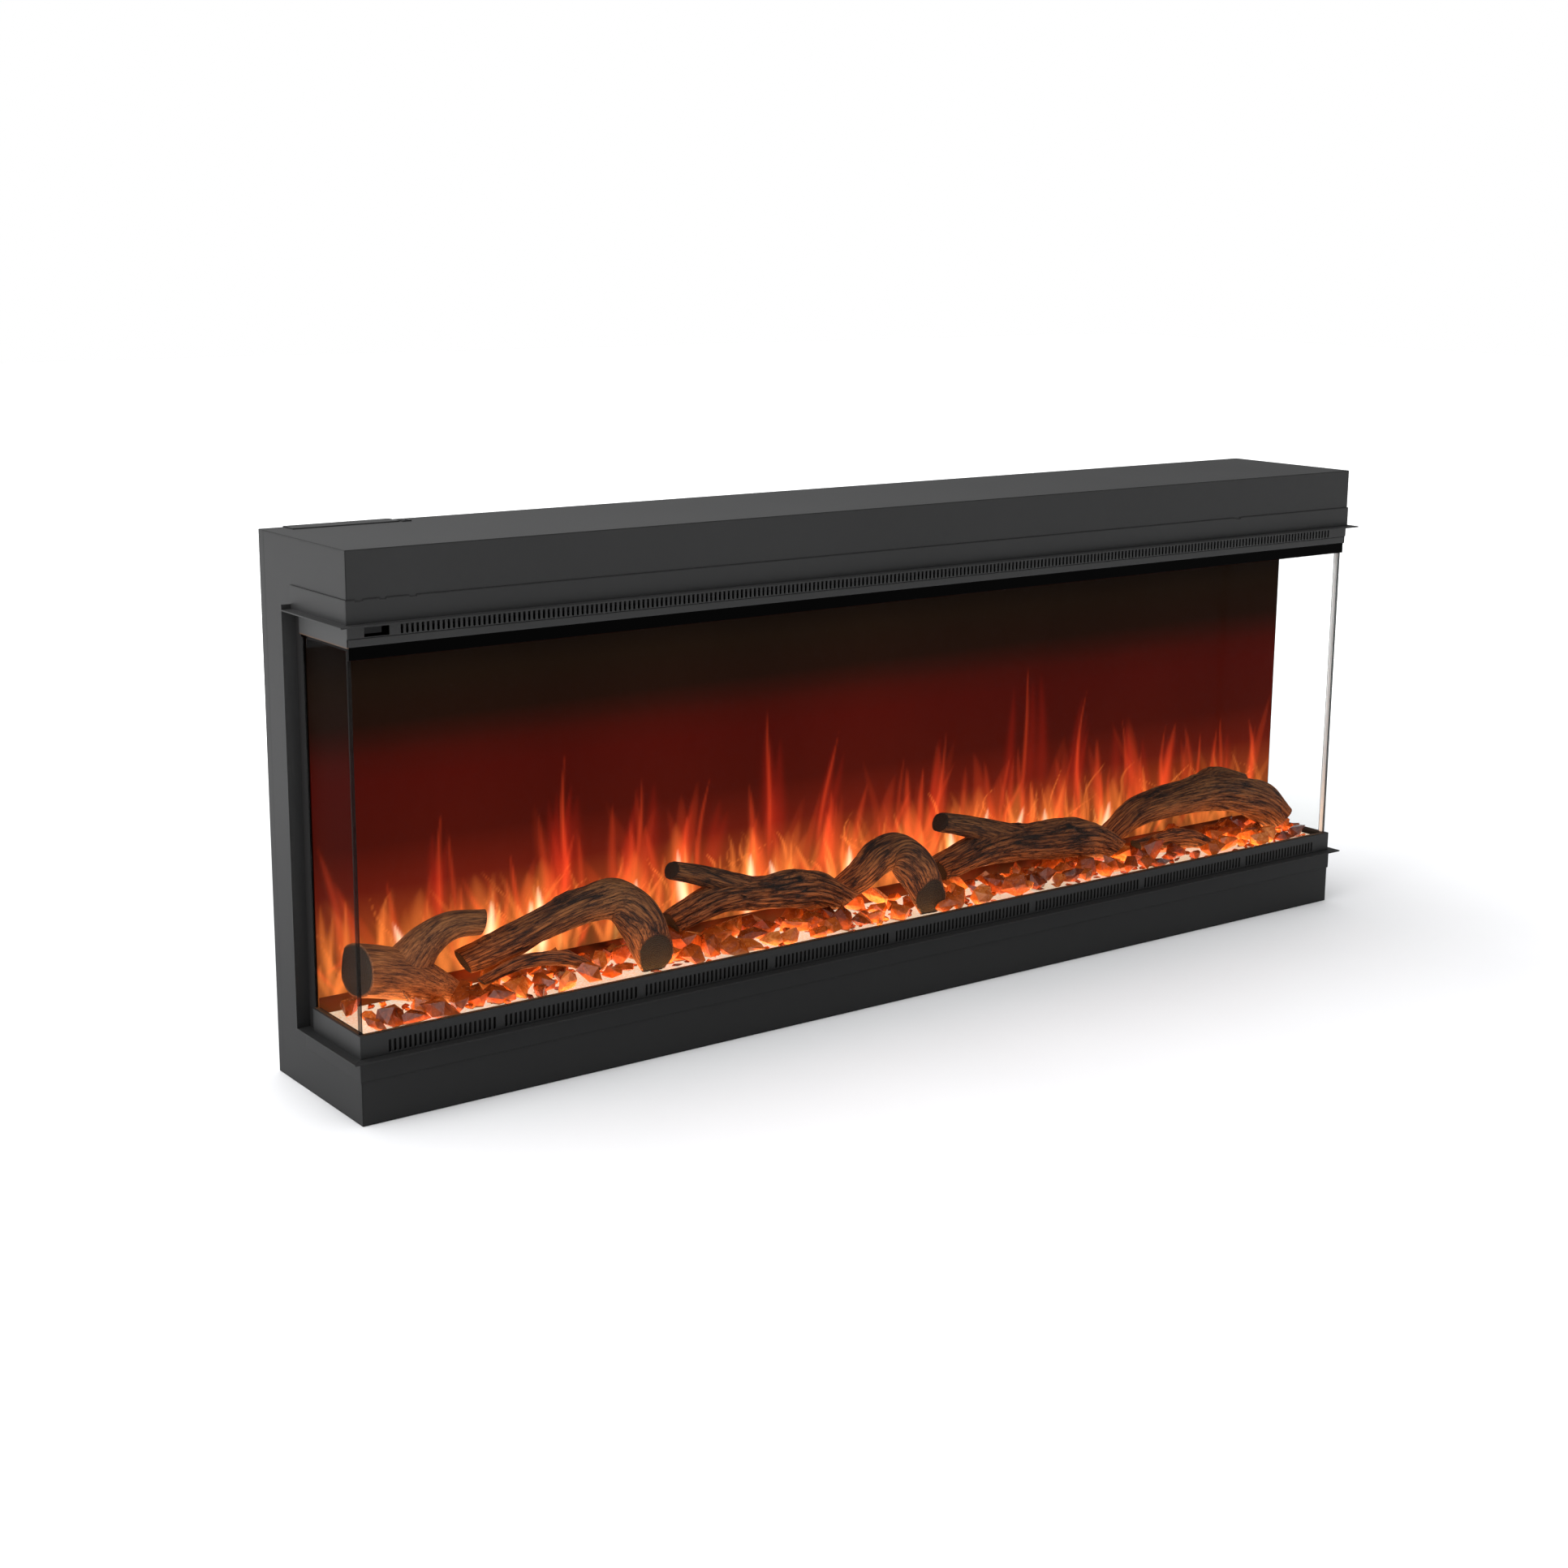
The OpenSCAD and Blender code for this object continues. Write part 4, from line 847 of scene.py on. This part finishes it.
def add_tongue(layer, x, z, foot, top, place, width, lean, sway, soft, level, crisp=2.0):
    """Adds one tongue of flame to a layer: its middle line leans and sways as it rises, its width
    swells from the foot and draws in to the tip, and its light falls off to the sides as a bell, or
    with a flat middle and firmer edges as it gets crisper."""
    columns = np.abs(x - place) < abs(lean) + abs(sway) + 3 * width
    rise = ((z - foot) / (top - foot))[:, None]
    inside = (rise > 0) & (rise < 1)
    t = np.clip(rise, 1e-4, 1 - 1e-4)
    middle = place + lean * t**1.4 + sway * np.sin(math.pi * 1.3 * t + place * 40)
    half = width * (0.35 + 1.1 * t**0.6) * (1 - t) ** 0.75 + 1e-4
    body = np.exp(-(np.abs((x[None, columns] - middle) / half) ** crisp))
    lengthwise = np.clip(t / soft, 0, 1) ** 1.2 * (1 - t**3) ** 0.8
    layer[:, columns] += level * body * lengthwise * inside


def flame_colours(x, z):
    """The picture's linear colour at each row z and column x: a cloudy glow, tall tongues, random
    tongues, wisps and cores. Each layer's light levels off at one as it builds up, then takes its
    colour, and the layers are added together."""
    rng = np.random.default_rng(7)
    heights, colours = zip(*GLOW)
    base = np.column_stack([np.interp(z, heights, channel) for channel in np.array(colours).T])
    drift = sum(
        rng.uniform(0.4, 1)
        * np.sin(x[None] * rng.uniform(3, 26) + z[:, None] * rng.uniform(-8, 8) + rng.uniform(0, 6.3))
        for _ in range(10)
    ) / 6
    picture = base[:, None, :] * (1 + 0.22 * drift)[..., None]
    floor = BED_TOP + 0.006
    layers = {name: np.zeros((len(z), len(x))) for name in TINTS}

    def tongue(name, *shape):
        """Adds a tongue of this shape to the layer of that name."""
        add_tongue(layers[name], x, z, *shape)

    for place, top, lean in TALL:
        for _ in range(3):
            shift = rng.normal() * 0.012
            tongue("deep", 0.13, top / 1000 - rng.uniform(0, 0.05), place / 1000 + shift,
                   rng.uniform(0.008, 0.018), lean / 1000 + rng.normal() * 0.008, 0.004, 0.5, 0.10)
        tongue("red", 0.15, top / 1000, place / 1000, 0.0042, lean / 1000, 0.004, 0.35, 0.30)
    for name, number, reach, lowest, added, power, feet, widths, lean, sway, soft, light, crisp in TONGUES:
        for _ in range(number):
            place = rng.uniform(-reach, reach)
            top = floor + lowest + added * rng.random() ** power
            foot = floor + (rng.uniform(*feet) if feet[0] < feet[1] else feet[0])
            tongue(name, foot, top, place, rng.uniform(*widths), rng.normal() * lean,
                   rng.normal() * sway, soft, rng.uniform(*light), crisp)
    for _ in range(90):
        foot = floor + rng.uniform(0, 0.07)
        tongue("orange", foot, foot + rng.uniform(0.025, 0.07), rng.uniform(-0.73, 0.73),
               rng.uniform(0.0016, 0.004), rng.normal() * 0.045, rng.normal() * 0.012, 0.5,
               rng.uniform(0.2, 0.7), 2.4)
    for place, top in CORES:
        middle, tip = place / 1000, top / 1000
        for _ in range(4):
            shift = rng.normal() * 0.010
            tongue("yellow", floor, tip - abs(shift) + rng.uniform(-0.01, 0.012), middle + shift,
                   rng.uniform(0.003, 0.007), rng.normal() * 0.01, 0.002, 0.35, rng.uniform(0.25, 0.6))
        tongue("white", floor, tip - 0.004, middle, 0.0075, rng.normal() * 0.008, 0.003, 0.4, 2.0)
        tongue("orange", floor - 0.02, tip + 0.03, middle, 0.026, rng.normal() * 0.01, 0.004, 0.3, 0.45)
    for name, layer in layers.items():
        picture = picture + (1 - np.exp(-layer))[..., None] * np.array(TINTS[name])
    return picture


def make_flame_picture():
    """The semi-mirror as one closed sheet. Its front is a fine grid that carries the flame picture,
    closer together low down where the flames are, and its back is one flat face."""
    columns, rows = 560, 164
    x = np.linspace(SCREEN_LOW[0], SCREEN_HIGH[0], columns)
    z = SCREEN_LOW[2] + (SCREEN_HIGH[2] - SCREEN_LOW[2]) * np.linspace(0, 1, rows) ** 1.25
    colours = flame_colours(x, z)
    grid_z, grid_x = np.meshgrid(z, x, indexing="ij")
    front = np.stack([grid_x, np.full_like(grid_x, SCREEN_LOW[1]), grid_z], -1).reshape(-1, 3)
    row, column = np.meshgrid(np.arange(rows - 1), np.arange(columns - 1), indexing="ij")
    here = (row * columns + column).ravel()
    quads = np.stack([here, here + 1, here + columns + 1, here + columns], -1)
    bottom, top = np.arange(columns), np.arange(columns) + (rows - 1) * columns
    left, right = np.arange(rows) * columns, np.arange(rows) * columns + columns - 1
    rim = np.concatenate([bottom, right[1:], top[-2::-1], left[-2:0:-1]])
    back = front[rim] + np.array([0, SCREEN_HIGH[1] - SCREEN_LOW[1], 0])
    base = len(front)
    spot = np.arange(len(rim))
    beyond = (spot + 1) % len(rim)
    sides = np.stack([rim[spot], base + spot, base + beyond, rim[beyond]], -1)
    faces = quads.tolist() + sides.tolist() + [(base + spot[::-1]).tolist()]
    shown = np.ones((len(front) + len(back), 4))
    shown[: len(front), :3] = colours.reshape(-1, 3)
    shown[len(front):, :3] = 0.0
    picture = new_piece("flame_picture", np.vstack([front, back]), faces, flame_mirror("flame picture"),
                        {"picture": shown}, smooth=False)
    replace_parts(picture, "flame_screen")


# ---- Floor, light and camera ----


def make_stage():
    """A plain pale floor that fades into the white backdrop."""
    made = Finish("pale floor")
    place = made.place()
    cloud = made.noise(3.0, 2.0, place)
    far = made.length(place).fade(0.8, 2.4)
    finish = made.surface({
        "Base Color": made.blend(cloud, tone(216, 216, 217), tone(222, 222, 223)),
        "Emission Color": made.blend(far, BLACK, WHITE),
        "Emission Strength": 1.0,
        "Roughness": 0.5,
    })
    mesh = bpy.data.meshes.new("floor")
    reach, level = 14, -0.0005
    corners = [(x * reach, y * reach, level) for x, y in ((-1, -1), (1, -1), (1, 1), (-1, 1))]
    mesh.from_pydata(corners, [], [(0, 1, 2, 3)])
    mesh.materials.append(finish)
    floor = bpy.data.objects.new("floor", mesh)
    bpy.context.scene.collection.objects.link(floor)


def soft_box(name, place, towards, size, power, colour=(1, 1, 1)):
    """A rectangular lamp that faces a point. No lamp is seen, and only the studio's show as gloss."""
    lamp = bpy.data.lights.new(name, "AREA")
    lamp.shape, lamp.size, lamp.size_y, lamp.energy, lamp.color = "RECTANGLE", size[0], size[1], power, colour
    holder = bpy.data.objects.new(name, lamp)
    holder.location = place
    holder.rotation_euler = (Vector(towards) - Vector(place)).to_track_quat("-Z", "Y").to_euler()
    holder.visible_camera = False
    holder.visible_glossy = name.startswith("studio")
    bpy.context.scene.collection.objects.link(holder)


def make_light():
    """A white studio: bright above and to the left, darker in front, white to the eye; and warm
    strips just above the bed that light the wood and stones from below."""
    made = Finish("studio", world=True)
    towards_light = made.node(
        "VectorMath", {"operation": "DOT_PRODUCT"},
        {0: made.node("TexCoord", out="Generated"), 1: (-0.78, 0.10, 0.62)}, out="Value")
    strength = made.node("MapRange", {}, {
        "Value": towards_light, "From Min": -0.5, "From Max": 1.0, "To Min": 0.06, "To Max": 1.1})
    shade = made.node("Background", {}, {"Color": (0.97, 0.985, 1.0, 1), "Strength": strength})
    white = made.node("Background", {}, {"Color": WHITE, "Strength": 1.0})
    to_the_eye = made.node("LightPath", out="Is Camera Ray")
    both = made.node("MixShader", {}, {0: to_the_eye, 1: shade, 2: white})
    made.node("OutputWorld", {}, {"Surface": both})
    bpy.context.scene.world = made.owner
    soft_box("studio_top", (-0.3, 0.2, 3.6), (0, 0, 0), (5.5, 5.5), 235)
    soft_box("studio_left", (-3.2, -0.3, 1.5), (0, 0, 0.3), (2.4, 2.4), 50)
    middle, warm = (BED_LOW[1] + BED_HIGH[1]) / 2, (1.0, 0.48, 0.17)
    for number, x in enumerate((-0.5, 0.0, 0.5)):
        start = (x, middle, BED_TOP + 0.003)
        soft_box("bed_%d" % number, start, (x, middle, 1), (0.46, 0.09), 1.9, warm)


def make_camera():
    """A camera to the left of the fire and a little above it, turned right and down."""
    yaw, pitch, roll = 0.6321, 0.2103, 0.0071
    ahead = Vector((math.sin(yaw) * math.cos(pitch), math.cos(yaw) * math.cos(pitch), -math.sin(pitch)))
    side = Vector((math.cos(yaw), -math.sin(yaw), 0))
    up = side.cross(ahead)
    side = side * math.cos(roll) + up * math.sin(roll)
    up = side.cross(ahead)
    lens = bpy.data.cameras.new("camera")
    lens.lens, lens.sensor_width, lens.shift_y = 53.82, 36, -0.0334
    camera = bpy.data.objects.new("camera", lens)
    turn = Matrix((side, up, -ahead)).transposed().to_4x4()
    camera.matrix_world = Matrix.Translation((-1.76830, -2.23317, 0.92450)) @ turn
    bpy.context.scene.collection.objects.link(camera)
    bpy.context.scene.camera = camera
    bpy.context.scene.view_settings.view_transform = "Standard"


dress_frame()
make_logs()
make_stones()
make_flame_picture()
make_stage()
make_light()
make_camera()
